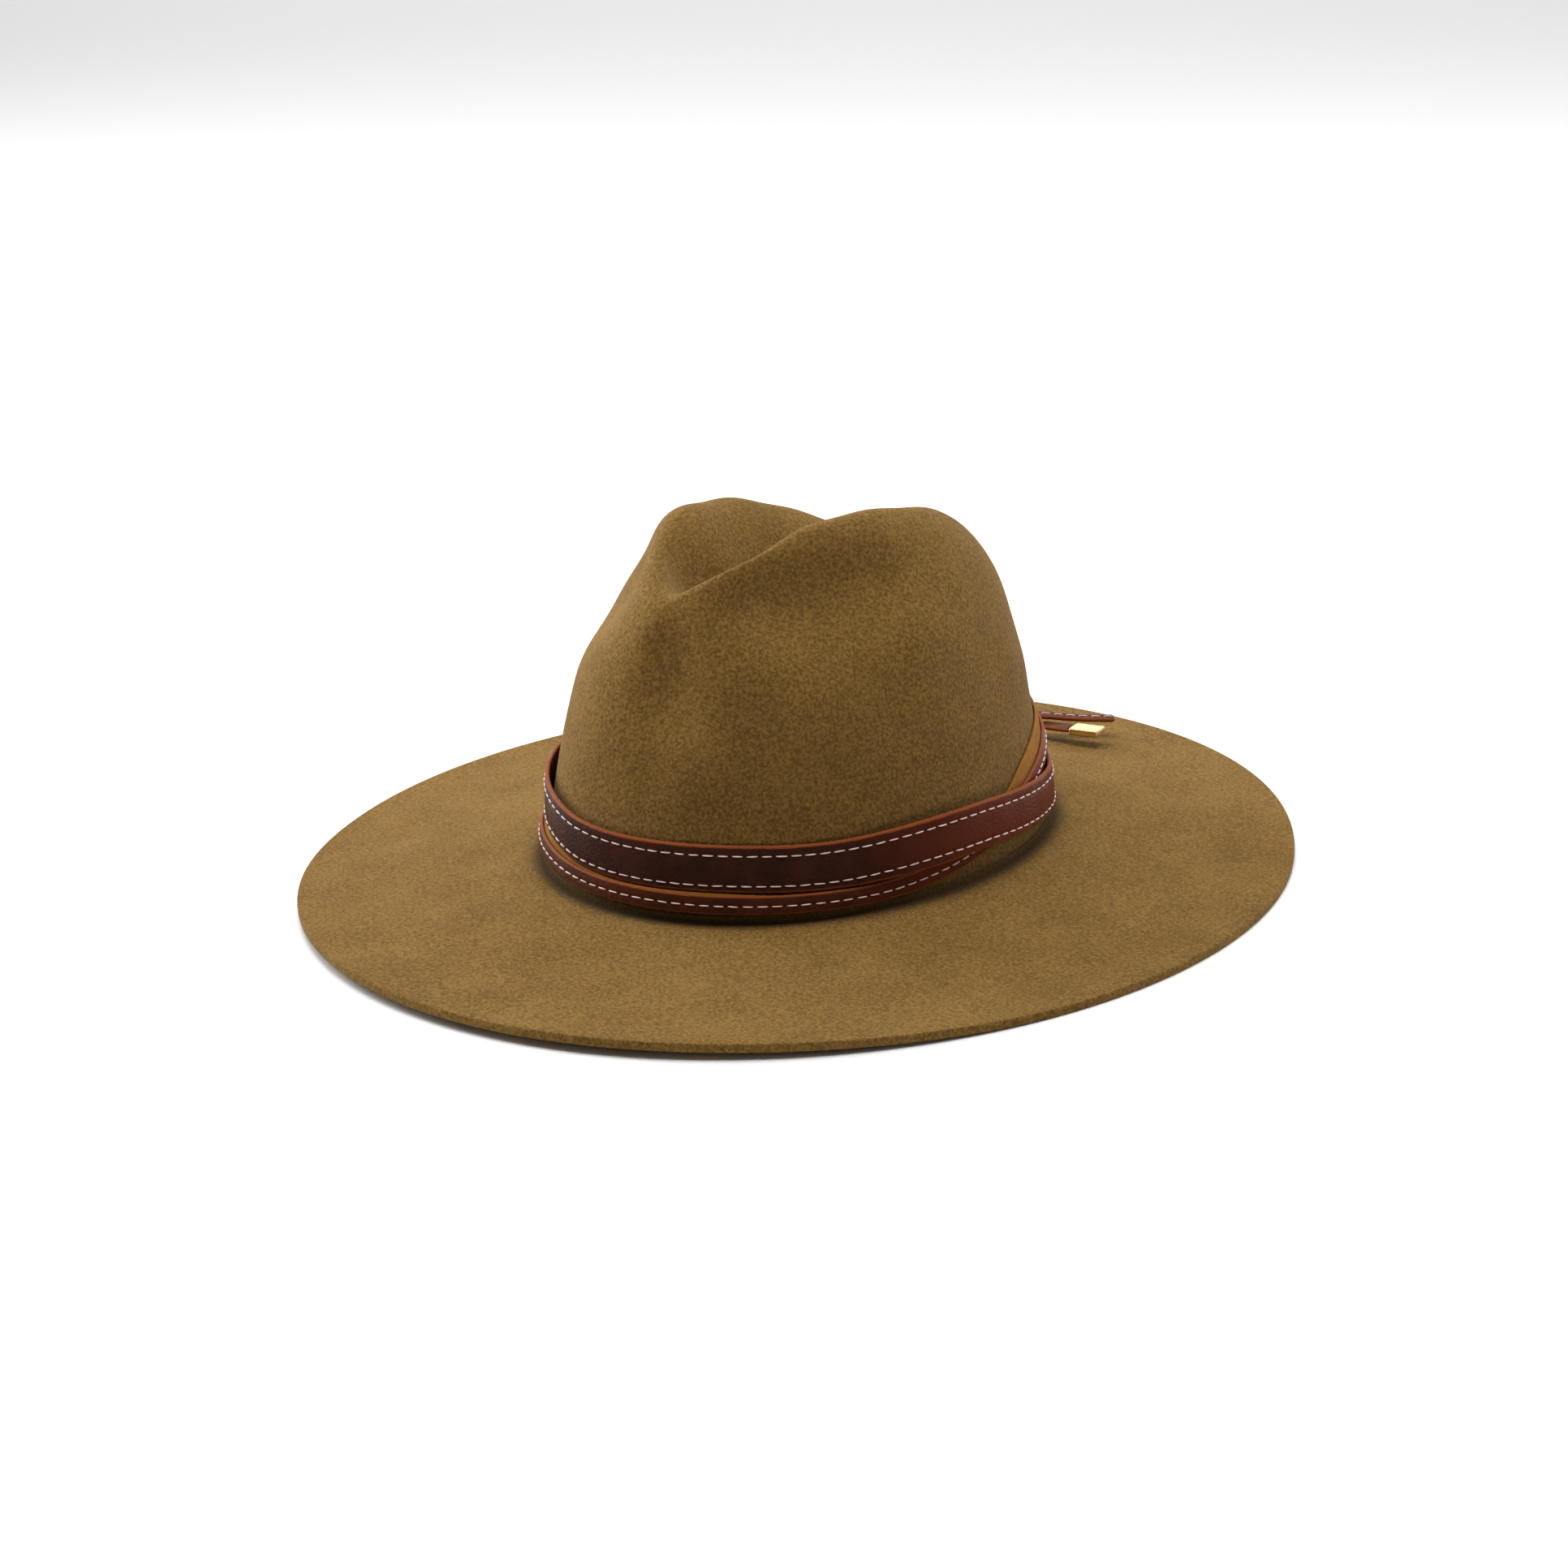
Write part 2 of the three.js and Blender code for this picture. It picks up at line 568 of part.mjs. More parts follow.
addMesh("felt_body", feltGeometry(), 0x8a6a41, 0.95, 0.0);
addMesh("upper_strap", strapGeometry(UPPER_STRAP, UPPER_THICKNESS), 0x3f2018, 0.5, 0.0);
addMesh("lower_strap", strapGeometry(LOWER_STRAP, LOWER_THICKNESS), 0x4a261b, 0.5, 0.0);
addMesh("ochre_strap", strapGeometry(OCHRE_STRAP, OCHRE_THICKNESS), 0xb07a2c, 0.9, 0.0);
addMesh("back_keeper", keeperGeometry(), 0x3a1d16, 0.55, 0.0);
const stitchedTail = tailGeometry(STITCHED_TAIL, STITCHED_TAIL_WIDTH, STITCHED_TAIL_THICKNESS);
const tippedTail = tailGeometry(TIPPED_TAIL, TIPPED_TAIL_WIDTH, TIPPED_TAIL_THICKNESS);
addMesh("stitched_tail", stitchedTail, 0x4a261b, 0.5, 0.0);
addMesh("tipped_tail", tippedTail, 0x4a261b, 0.5, 0.0);
addMesh("gold_tip", tipGeometry(), 0xc6a15a, 0.3, 1.0);

export default hat;
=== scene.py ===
# %% [markdown]
# # A wide-brim felt hat with three leather straps
# The hat is one piece of pressed fur felt: a crown that is creased and pinched by hand, and a flat brim with
# a raw cut edge. Three narrow straps are wound round the foot of the crown. They cross at the wearer's left,
# and two loose ends reach out over the back of the brim. The solids made for this hat are loaded first. They
# are the frame: every soft or detailed piece made below stands exactly where its plain solid stands.

# %% Load the solids
import bpy
import math
import numpy as np
from mathutils import Matrix, Vector


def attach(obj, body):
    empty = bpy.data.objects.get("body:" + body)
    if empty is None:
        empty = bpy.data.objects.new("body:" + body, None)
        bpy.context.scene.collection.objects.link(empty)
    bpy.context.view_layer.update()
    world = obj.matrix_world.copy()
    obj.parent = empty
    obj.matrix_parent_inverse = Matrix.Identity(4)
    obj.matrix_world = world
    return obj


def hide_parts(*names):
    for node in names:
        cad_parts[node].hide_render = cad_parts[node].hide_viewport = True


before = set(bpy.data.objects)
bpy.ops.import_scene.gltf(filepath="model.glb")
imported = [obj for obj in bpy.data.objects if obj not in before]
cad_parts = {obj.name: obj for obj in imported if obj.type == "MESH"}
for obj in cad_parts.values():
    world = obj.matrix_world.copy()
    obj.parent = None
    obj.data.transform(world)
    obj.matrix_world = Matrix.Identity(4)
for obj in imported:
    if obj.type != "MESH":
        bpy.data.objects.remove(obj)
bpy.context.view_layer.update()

# %% [markdown]
# ## Sizes of the felt
# A hatter thinks in millimetres, so the named sizes are in millimetres and turn into metres only when a mesh
# is made. The front of the hat looks along -Y and the wearer's left is +X. Angles run round the head from the
# wearer's left. The same named sizes shape the plain solids, so both skins lie on each other.

# %% Sizes of the brim and of the crown's foot
MM = 0.001
FELT_THICKNESS = 3.0
HEAD_HALF_WIDTH = 84.0
HEAD_HALF_LENGTH = 102.0
BASE_FLARE = 2.4
BASE_FLARE_HEIGHT = 59.0
FLARE_HIGHER_AT_RIGHT = 12.0
BRIM_REACH = 91.7
BREAK_HEIGHT = 13.5
EDGE_TOP_AT_SIDES = 3.0
EDGE_RISE_FRONT_BACK = 2.9
EDGE_RISES_FROM = 0.3
FLAT_EDGE_SHARE = 0.93
BRIM_CURVE_POWER = 1.6
BREAK_FILLET = 2.0
print("brim", round(2 * (HEAD_HALF_WIDTH + BASE_FLARE + BRIM_REACH), 1), "mm wide")

# %% Sizes of the open dome
CROWN_HEIGHT = 137.7
SHOULDER_POWER = 3.125
CROWN_TAPER = 0.148
LEAN_BACK = 3.4
FRONT_PULL_BACK = 2.9
print("open dome", BREAK_HEIGHT + CROWN_HEIGHT, "mm high before it is pressed")

# %% Sizes of the crease, and how the top's edge falls and rises along it
CREASE_DEPTH = 56.5
CREASE_MIDDLE = -1.6
CREASE_REACH_FRONT = 62.0
CREASE_REACH_BACK = 71.9
CREASE_FRONT_POWER = 4.0
CREASE_HALF_WIDTH_FRONT = 17.6
CREASE_HALF_WIDTH_BACK = 29.6
CREASE_WIDEN_FROM = -90.0
CREASE_WIDEN_OVER = 130.0
CREASE_STARTS_AT = 0.30
CREASE_FULL_AT = 0.95
DROP_TO_BACK = 7.9
DROP_LENGTH = 100.0
DROP_TO_RIGHT = 8.8
FRONT_LIFT = 12.4
FRONT_LIFT_FROM = 40.0
FRONT_LIFT_OVER = 60.0
print("crease", CREASE_REACH_FRONT + CREASE_REACH_BACK, "mm from end to end")

# %% Sizes of the pinches and of the two shallow dents
PINCH_DEPTH = 12.8
PINCH_AT_Y = -53.7
PINCH_SLOPE = 0.843
PINCH_HEIGHT = 99.4
PINCH_HALF_LENGTH = 31.7
PINCH_HALF_HEIGHT = 23.1
PINCH_BLEND = 14.0
SIDE_DENT_DEPTH = 8.0
SIDE_DENT_AT_Y = -33.0
SIDE_DENT_HEIGHT = 97.0
SIDE_DENT_RISE = 0.22
SIDE_DENT_HALF_LENGTH = 40.0
SIDE_DENT_HALF_HEIGHT = 12.5
FRONT_DENT_DEPTH = 5.0
FRONT_DENT_AT_X = 10.0
FRONT_DENT_HEIGHT = 72.0
FRONT_DENT_HALF_WIDTH = 15.0
FRONT_DENT_HALF_HEIGHT = 30.0
DENT_FADE = 2.0
print("depths pressed in, mm:", PINCH_DEPTH, SIDE_DENT_DEPTH, FRONT_DENT_DEPTH)

# %% [markdown]
# ## The crown as a formula
# A hatter steams an open, dome-shaped crown and then presses the dents in with the side of the hand. The
# formula does the same in the same order. A superellipse gives the open dome, then one long hollow is
# subtracted along the top, then a hollow on each side of the front. Two shallower dents follow: a long one
# under the crease's edge at the wearer's left and a broad one beside the nose. A hollow is a bell curve,
# because felt has no sharp creases. The formula takes whole numpy arrays, so it answers for thousands of
# points at once.

# %% Curves that the formula is made of
def smooth(value):
    clamped = np.clip(value, 0.0, 1.0)
    return clamped * clamped * (3 - 2 * clamped)


def hollow(value):
    return np.exp(-value * value)


def mix(a, b, share):
    return a + (b - a) * share


print("hollow", [round(float(hollow(step)), 2) for step in (0, 0.5, 1, 2)], "falls off like a pressed dent")


# %% The open dome and the depth of each dent in it
def open_dome(angle, radius, height):
    flare_top = BASE_FLARE_HEIGHT - FLARE_HIGHER_AT_RIGHT * np.cos(angle)
    flare = BASE_FLARE * (1 - smooth(height * CROWN_HEIGHT / flare_top))
    share = radius * (1 - CROWN_TAPER * height)
    x = (HEAD_HALF_WIDTH + flare) * share * np.cos(angle)
    pull = LEAN_BACK + FRONT_PULL_BACK * smooth(-np.sin(angle)) * share
    y = (HEAD_HALF_LENGTH + flare) * share * np.sin(angle) + pull * height
    return x, y


def crease_depth(x, y, height):
    from_middle = y - CREASE_MIDDLE
    toward_front = np.abs(from_middle / CREASE_REACH_FRONT) ** CREASE_FRONT_POWER
    lengthwise = np.where(from_middle < 0, toward_front, (from_middle / CREASE_REACH_BACK) ** 2)
    widen = smooth((y - CREASE_WIDEN_FROM) / CREASE_WIDEN_OVER)
    half_width = mix(CREASE_HALF_WIDTH_FRONT, CREASE_HALF_WIDTH_BACK, widen)
    pressed = smooth((height - CREASE_STARTS_AT) / (CREASE_FULL_AT - CREASE_STARTS_AT))
    return CREASE_DEPTH * np.exp(-lengthwise) * hollow(x / half_width) * pressed


def top_rise(x, y, height):
    """How far the top rises to the front and to the wearer's left, and falls to the back."""
    back = DROP_TO_BACK * (y / DROP_LENGTH) * height
    right = DROP_TO_RIGHT * (x / HEAD_HALF_WIDTH) * height
    front = FRONT_LIFT * smooth((-y - FRONT_LIFT_FROM) / FRONT_LIFT_OVER) * height
    return right + front - back


def pinch_depth(x, y, above):
    pinch_middle = PINCH_AT_Y + PINCH_SLOPE * (above - PINCH_HEIGHT)
    pinch = PINCH_DEPTH * hollow((y - pinch_middle) / PINCH_HALF_LENGTH)
    return pinch * hollow((above - PINCH_HEIGHT) / PINCH_HALF_HEIGHT) * np.tanh(x / PINCH_BLEND)


def side_dent_depth(x, y, above):
    dent_middle = SIDE_DENT_HEIGHT + SIDE_DENT_RISE * (y - SIDE_DENT_AT_Y)
    dent = SIDE_DENT_DEPTH * hollow((y - SIDE_DENT_AT_Y) / SIDE_DENT_HALF_LENGTH)
    dent = dent * hollow((above - dent_middle) / SIDE_DENT_HALF_HEIGHT)
    return dent * smooth(x / HEAD_HALF_WIDTH * DENT_FADE)


def front_dent_depth(x, above, angle):
    dent = FRONT_DENT_DEPTH * hollow((x - FRONT_DENT_AT_X) / FRONT_DENT_HALF_WIDTH)
    dent = dent * hollow((above - FRONT_DENT_HEIGHT) / FRONT_DENT_HALF_HEIGHT)
    return dent * smooth(-np.sin(angle) * DENT_FADE)


# %% A point of the pressed crown
def crown_point(angle, radius, height):
    """Points of the crown's outside, from the place round the head and on the dome's profile."""
    above = height * CROWN_HEIGHT
    x, y = open_dome(angle, radius, height)
    pressed_x = x - pinch_depth(x, y, above) - side_dent_depth(x, y, above)
    pressed_y = y + front_dent_depth(x, above, angle)
    z = BREAK_HEIGHT + above - crease_depth(x, y, height) + top_rise(x, y, height)
    return np.stack(np.broadcast_arrays(pressed_x, pressed_y, z), axis=-1)


print("crease's floor stands", round(float(crown_point(0.0, 0.0, 1.0)[2]), 1), "mm up")

# %% Profile of the dome, evenly spaced along its length
PROFILE_STEPS = 1200


def dome_profile(rows):
    quarter = np.linspace(0, np.pi / 2, PROFILE_STEPS + 1)
    radius = np.cos(quarter) ** (2 / SHOULDER_POWER)
    radius[-1] = 0
    height = np.sin(quarter) ** (2 / SHOULDER_POWER)
    steps = np.hypot(np.diff(radius) * HEAD_HALF_LENGTH, np.diff(height) * CROWN_HEIGHT)
    length = np.concatenate([[0], np.cumsum(steps)])
    wanted = np.linspace(0, length[-1], rows + 1)
    return np.interp(wanted, length, radius), np.interp(wanted, length, height)


# %% Top side of the brim, and the ovals that run round the head
def brim_top(angle, out):
    """Height of the brim's top side at a distance out from the foot of the crown."""
    toward_end = (np.abs(np.sin(angle)) - EDGE_RISES_FROM) / (1 - EDGE_RISES_FROM)
    edge = EDGE_TOP_AT_SIDES + EDGE_RISE_FRONT_BACK * smooth(toward_end)
    rest = np.maximum(0, 1 - out / (BRIM_REACH * FLAT_EDGE_SHARE))
    return edge + (BREAK_HEIGHT - edge) * rest ** BRIM_CURVE_POWER


def around_head(angle, out, z):
    x = (HEAD_HALF_WIDTH + BASE_FLARE + out) * np.cos(angle)
    y = (HEAD_HALF_LENGTH + BASE_FLARE + out) * np.sin(angle)
    return np.stack(np.broadcast_arrays(x, y, z), axis=-1)


print("brim's front edge stands", round(float(brim_top(-np.pi / 2, BRIM_REACH)), 1), "mm up")

# %% [markdown]
# ## From rings of points to a mesh
# Felt, straps, keeper, tails and tip are lofts: rings or sections with the same number of points, joined by
# quads. A curve object with a bevel could make a strap too, but it can't follow the wall of the crown or
# carry stitch holes. One helper makes all the lofts from a block of points, rows by columns. It can also
# store plain numbers on the points, such as how far across a strap a point lies, for the finishes to paint
# by.

# %% Helper that puts a mesh of points and faces in the scene
def new_piece(name, vertices, faces):
    mesh = bpy.data.meshes.new(name)
    mesh.from_pydata(vertices, [], faces)
    mesh.polygons.foreach_set("use_smooth", [True] * len(mesh.polygons))
    mesh.update()
    piece = bpy.data.objects.new(name, mesh)
    bpy.context.scene.collection.objects.link(piece)
    return piece


# %% Helper that makes a lofted mesh
def loft_mesh(name, points, closed=False, poles=(), caps=False, marks=None):
    rows, columns = points.shape[:2]
    vertices = (points.reshape(-1, 3) * MM).tolist()
    row = np.arange(rows if closed else rows - 1)[:, None]
    column = np.arange(columns)[None, :]
    above = ((row + 1) % rows) * columns
    beside = (column + 1) % columns
    here = row * columns
    quads = np.stack([here + column, here + beside, above + beside, above + column], axis=-1)
    faces = quads.reshape(-1, 4).tolist()
    last = (rows - 1) * columns
    if len(poles):
        first_pole = len(vertices)
        vertices += (np.array(poles) * MM).tolist()
        for i in range(columns):
            j = (i + 1) % columns
            faces.append([j, i, first_pole])
            faces.append([last + i, last + j, first_pole + 1])
    if caps:
        faces.append(list(range(columns))[::-1])
        faces.append([last + i for i in range(columns)])
    piece = new_piece(name, vertices, faces)
    for mark, values in (marks or {}).items():
        stored = np.zeros(len(vertices), dtype=np.float32)
        stored[:rows * columns] = np.broadcast_to(values, (rows, columns)).ravel()
        layer = piece.data.attributes.new(mark, "FLOAT", "POINT")
        layer.data.foreach_set("value", stored)
    return piece


# %% Helper that adds a piece to the hat
def add_to_hat(piece, slot, material, *nodes):
    """The piece rides with the hat, stands for the plain solids named, and gets its finish."""
    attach(piece, "root")
    if nodes:
        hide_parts(*nodes)
    piece.data.materials.append(material)
    piece.data.calc_loop_triangles()
    size = [round(side / MM, 1) for side in piece.dimensions]
    print(piece.name, len(piece.data.loop_triangles), "triangles,", size, "mm")


# %% [markdown]
# ## Finishes
# Every finish is a small node tree. Effects that several finishes share are node groups: an uneven tint, a
# fine relief, and a mask for worn edges. The shader itself stays in the material. Texture space is the
# object's own space in metres, so a scale of 1000 means a pattern about one millimetre wide.

# %% Helpers for node trees
def new_group(name, inputs, outputs):
    group = bpy.data.node_groups.new(name, "ShaderNodeTree")
    for title, default in inputs:
        socket = group.interface.new_socket(title, in_out="INPUT", socket_type="NodeSocketFloat")
        socket.default_value = default
    for title in outputs:
        group.interface.new_socket(title, in_out="OUTPUT", socket_type="NodeSocketFloat")
    return group, group.nodes.new("NodeGroupInput"), group.nodes.new("NodeGroupOutput")


def noise(tree, scale, detail, roughness=0.5, vector=None):
    node = tree.nodes.new("ShaderNodeTexNoise")
    node.inputs["Detail"].default_value = detail
    node.inputs["Roughness"].default_value = roughness
    if isinstance(scale, (int, float)):
        node.inputs["Scale"].default_value = scale
    else:
        tree.links.new(scale, node.inputs["Scale"])
    if vector is not None:
        tree.links.new(vector, node.inputs["Vector"])
    return node.outputs["Fac"]


def maths(tree, operation, *values, clamp=False):
    node = tree.nodes.new("ShaderNodeMath")
    node.operation = operation
    node.use_clamp = clamp
    for socket, value in zip(node.inputs, values):
        if isinstance(value, (int, float)):
            socket.default_value = value
        else:
            tree.links.new(value, socket)
    return node.outputs[0]


def ramp(tree, value, from_low, from_high, to_low=0.0, to_high=1.0):
    node = tree.nodes.new("ShaderNodeMapRange")
    node.interpolation_type = "SMOOTHSTEP"
    tree.links.new(value, node.inputs["Value"])
    limits = {"From Min": from_low, "From Max": from_high, "To Min": to_low, "To Max": to_high}
    for title, number in limits.items():
        if isinstance(number, (int, float)):
            node.inputs[title].default_value = number
        else:
            tree.links.new(number, node.inputs[title])
    return node.outputs["Result"]


def object_space(tree):
    return tree.nodes.new("ShaderNodeTexCoord").outputs["Object"]


def mix_colour(tree, share, first, second):
    node = tree.nodes.new("ShaderNodeMix")
    node.data_type = "RGBA"
    tree.links.new(share, node.inputs["Factor"])
    for socket, colour in ((node.inputs["A"], first), (node.inputs["B"], second)):
        if isinstance(colour, tuple):
            socket.default_value = (*colour, 1.0)
        else:
            tree.links.new(colour, socket)
    return node.outputs["Result"]


def group_node(tree, group, **values):
    node = tree.nodes.new("ShaderNodeGroup")
    node.node_tree = group
    for title, value in values.items():
        socket = node.inputs[title.replace("_", " ").capitalize()]
        if isinstance(value, (int, float)):
            socket.default_value = value
        else:
            tree.links.new(value, socket)
    return node.outputs


# %% Group for an uneven tint: broad clouds with a fine speckle over them
uneven_tint, tint_in, tint_out = new_group(
    "uneven_tint", [("Cloud scale", 60.0), ("Speckle scale", 900.0), ("Speckle share", 0.5)], ["Tint"])
tint_space = object_space(uneven_tint)
clouds = noise(uneven_tint, tint_in.outputs["Cloud scale"], detail=3.0, roughness=0.55, vector=tint_space)
speckle = noise(uneven_tint, tint_in.outputs["Speckle scale"], detail=2.0, roughness=0.6, vector=tint_space)
speckle_part = maths(uneven_tint, "MULTIPLY", speckle, tint_in.outputs["Speckle share"])
cloud_share = maths(uneven_tint, "SUBTRACT", 1.0, tint_in.outputs["Speckle share"])
cloud_part = maths(uneven_tint, "MULTIPLY", clouds, cloud_share)
both_parts = maths(uneven_tint, "ADD", speckle_part, cloud_part)
stretched_tint = ramp(uneven_tint, both_parts, from_low=0.32, from_high=0.68)
uneven_tint.links.new(stretched_tint, tint_out.inputs["Tint"])
print("group", uneven_tint.name)

# %% Group for a fine relief: pebbled grain or short nap, from cells and noise
fine_relief, relief_in, relief_out = new_group(
    "fine_relief", [("Cell scale", 900.0), ("Cell share", 0.5), ("Fibre scale", 2500.0)], ["Height"])
relief_space = object_space(fine_relief)
cells = fine_relief.nodes.new("ShaderNodeTexVoronoi")
cells.feature = "SMOOTH_F1"
cells.inputs["Smoothness"].default_value = 0.6
fine_relief.links.new(relief_space, cells.inputs["Vector"])
fine_relief.links.new(relief_in.outputs["Cell scale"], cells.inputs["Scale"])
fibres = noise(fine_relief, relief_in.outputs["Fibre scale"], detail=3.0, roughness=0.7, vector=relief_space)
cell_part = maths(fine_relief, "MULTIPLY", cells.outputs["Distance"], relief_in.outputs["Cell share"])
fibre_share = maths(fine_relief, "SUBTRACT", 1.0, relief_in.outputs["Cell share"])
fibre_part = maths(fine_relief, "MULTIPLY", fibres, fibre_share)
fine_relief.links.new(maths(fine_relief, "ADD", cell_part, fibre_part), relief_out.inputs["Height"])
print("group", fine_relief.name)

# %% Group for worn edges: 1 at the two edges of a strap, broken up by noise
RUB_SCALE = 220.0
FULLY_WORN_SHARE = 0.55
worn_edge, edge_in, edge_mask_out = new_group(
    "worn_edge", [("Across", 0.5), ("Edge share", 0.08), ("Breakup", 0.5)], ["Mask"])
edge_share = edge_in.outputs["Edge share"]
off_middle = maths(worn_edge, "ABSOLUTE", maths(worn_edge, "SUBTRACT", edge_in.outputs["Across"], 0.5))
from_edge = maths(worn_edge, "SUBTRACT", 0.5, off_middle)
rub = noise(worn_edge, RUB_SCALE, detail=3.0, roughness=0.6, vector=object_space(worn_edge))
wander = maths(worn_edge, "MULTIPLY", maths(worn_edge, "SUBTRACT", rub, 0.5), edge_in.outputs["Breakup"])
wandering_edge = maths(worn_edge, "ADD", from_edge, maths(worn_edge, "MULTIPLY", wander, edge_share))
fully_worn = maths(worn_edge, "MULTIPLY", edge_share, FULLY_WORN_SHARE)
edge_mask = ramp(worn_edge, wandering_edge, fully_worn, edge_share, to_low=1.0, to_high=0.0)
worn_edge.links.new(edge_mask, edge_mask_out.inputs["Mask"])
print("group", worn_edge.name)


# %% A new material with its shader
def new_material(name, roughness, metallic=0.0, specular=0.5):
    material = bpy.data.materials.new(name)
    material.use_nodes = True
    tree = material.node_tree
    shader = tree.nodes["Principled BSDF"]
    shader.inputs["Roughness"].default_value = roughness
    shader.inputs["Metallic"].default_value = metallic
    shader.inputs["Specular IOR Level"].default_value = specular
    return material, tree, shader


def relief(tree, shader, height, distance):
    bump = tree.nodes.new("ShaderNodeBump")
    bump.inputs["Distance"].default_value = distance
    tree.links.new(height, bump.inputs["Height"])
    tree.links.new(bump.outputs["Normal"], shader.inputs["Normal"])


def nap_sheen(shader, weight, roughness, colour):
    shader.inputs["Sheen Weight"].default_value = weight
    shader.inputs["Sheen Roughness"].default_value = roughness
    shader.inputs["Sheen Tint"].default_value = (*colour, 1.0)


def mark_on_mesh(tree, name):
    """A number that the mesh carries on its points."""
    mark = tree.nodes.new("ShaderNodeAttribute")
    mark.attribute_name = name
    return mark.outputs["Fac"]


# %% [markdown]
# ### Felt
# Fur felt is matt. Its short nap scatters light at the rim, which the sheen of the shader stands for: a pale
# glow where the surface turns away. Single hairs would be truer, but from here they can't be told apart. The
# dye is never even, so a broad cloud and a fine speckle tint it. Where the crown meets the brim the felt is
# painted darker, as painted shade for the shadow under the straps: the number "fold" marks that line.

# %% Felt finish
FELT_DARK = (0.123, 0.063, 0.0145)
FELT_LIGHT = (0.281, 0.158, 0.040)
FELT_FOLD_SHADE = (0.045, 0.024, 0.008)
FELT_RIM = (0.90, 0.76, 0.50)


def felt_finish():
    material, tree, shader = new_material("tan_felt", roughness=0.95, specular=0.06)
    nap_sheen(shader, weight=0.14, roughness=0.45, colour=FELT_RIM)
    tint = group_node(tree, uneven_tint, cloud_scale=40.0, speckle_scale=900.0, speckle_share=0.80)["Tint"]
    dyed = mix_colour(tree, tint, FELT_DARK, FELT_LIGHT)
    # painted shade: along the fold the felt is mixed toward a dark colour, where the straps shade it
    coloured = mix_colour(tree, mark_on_mesh(tree, "fold"), dyed, FELT_FOLD_SHADE)
    tree.links.new(coloured, shader.inputs["Base Color"])
    nap = group_node(tree, fine_relief, cell_scale=700.0, cell_share=0.35, fibre_scale=1500.0)["Height"]
    relief(tree, shader, nap, distance=0.0006)
    return material


felt = felt_finish()
print("finish", felt.name)

# %% [markdown]
# ### Leather
# The straps are smooth leather, dyed a dark red-brown and waxed. The dye takes less on the cut edges, and
# rubbing burnishes them, so they are redder and lighter than the face. In the photograph the face is redder
# too at the wearer's left; that redder colour is painted in, partly a tone of its own and partly painted
# sheen.
# The colours could be painted into an image, but masks keep sharp at any distance. Both masks come from
# numbers that the strap's mesh carries: how far across a point lies, and how far into the redder part.

# %% Leather finish
BURNISHED = (0.245, 0.062, 0.016)
# partly painted sheen: the redder face colour at the wearer's left, partly the leather's own tone
RED_WITH_PAINTED_SHEEN = (0.125, 0.022, 0.006)
WAX_TINT = (1.0, 0.62, 0.48, 1.0)
GLOSS_SPREAD = 0.08


def leather(name, face_dark, face_light, edge_share, roughness):
    material, tree, shader = new_material(name, roughness, specular=0.06)
    shader.inputs["Specular Tint"].default_value = WAX_TINT
    tint = group_node(tree, uneven_tint, cloud_scale=90.0, speckle_scale=1400.0, speckle_share=0.35)["Tint"]
    face = mix_colour(tree, tint, face_dark, face_light)
    # painted sheen: the face is mixed toward a redder colour at the wearer's left, partly its own tone
    face = mix_colour(tree, mark_on_mesh(tree, "red_and_painted_sheen"), face, RED_WITH_PAINTED_SHEEN)
    place = mark_on_mesh(tree, "across")
    worn = group_node(tree, worn_edge, across=place, edge_share=edge_share, breakup=0.8)["Mask"]
    tree.links.new(mix_colour(tree, worn, face, BURNISHED), shader.inputs["Base Color"])
    gloss = ramp(tree, tint, 0.0, 1.0, to_low=roughness + GLOSS_SPREAD, to_high=roughness - GLOSS_SPREAD)
    tree.links.new(gloss, shader.inputs["Roughness"])
    grain = group_node(tree, fine_relief, cell_scale=1100.0, cell_share=0.75, fibre_scale=3000.0)["Height"]
    relief(tree, shader, grain, distance=0.0002)
    print("finish", material.name)
    return material


# %% Dark leather of the upper strap and red-brown leather of the others
BLACKISH_BROWN = (0.034, 0.0125, 0.0085)
DARK_BROWN = (0.064, 0.020, 0.0135)
RED_BROWN = (0.060, 0.018, 0.009)
WARM_BROWN = (0.104, 0.026, 0.011)
dark_leather = leather("dark_leather", BLACKISH_BROWN, DARK_BROWN, edge_share=0.062, roughness=0.40)
brown_leather = leather("brown_leather", RED_BROWN, WARM_BROWN, edge_share=0.11, roughness=0.44)

# %% [markdown]
# ### Suede, thread and metal
# The ochre strap is split leather with a raised nap on its face, so it is matt like the felt. The thread is
# waxed and slightly shiny. The tip is gold-coloured metal, polished, with faint scratches. A plain colour
# would do for pieces this small from far away, but close by it would look like plastic. So each of them has a
# slight tint and a relief of its own, made with the same groups, and only the thread does without relief.

# %% Suede finish
OCHRE_DARK = (0.27, 0.105, 0.010)
OCHRE_LIGHT = (0.40, 0.165, 0.018)
OCHRE_RIM = (1.0, 0.70, 0.30)


def suede_finish():
    material, tree, shader = new_material("ochre_suede", roughness=0.9, specular=0.2)
    nap_sheen(shader, weight=0.15, roughness=0.5, colour=OCHRE_RIM)
    tint = group_node(tree, uneven_tint, cloud_scale=160.0, speckle_scale=1500.0, speckle_share=0.5)["Tint"]
    tree.links.new(mix_colour(tree, tint, OCHRE_DARK, OCHRE_LIGHT), shader.inputs["Base Color"])
    nap = group_node(tree, fine_relief, cell_scale=1500.0, cell_share=0.2, fibre_scale=2600.0)["Height"]
    relief(tree, shader, nap, distance=0.0004)
    return material


suede = suede_finish()
print("finish", suede.name)

# %% Thread finish
THREAD_PINK = (0.80, 0.54, 0.48)
THREAD_WHITE = (0.94, 0.82, 0.76)


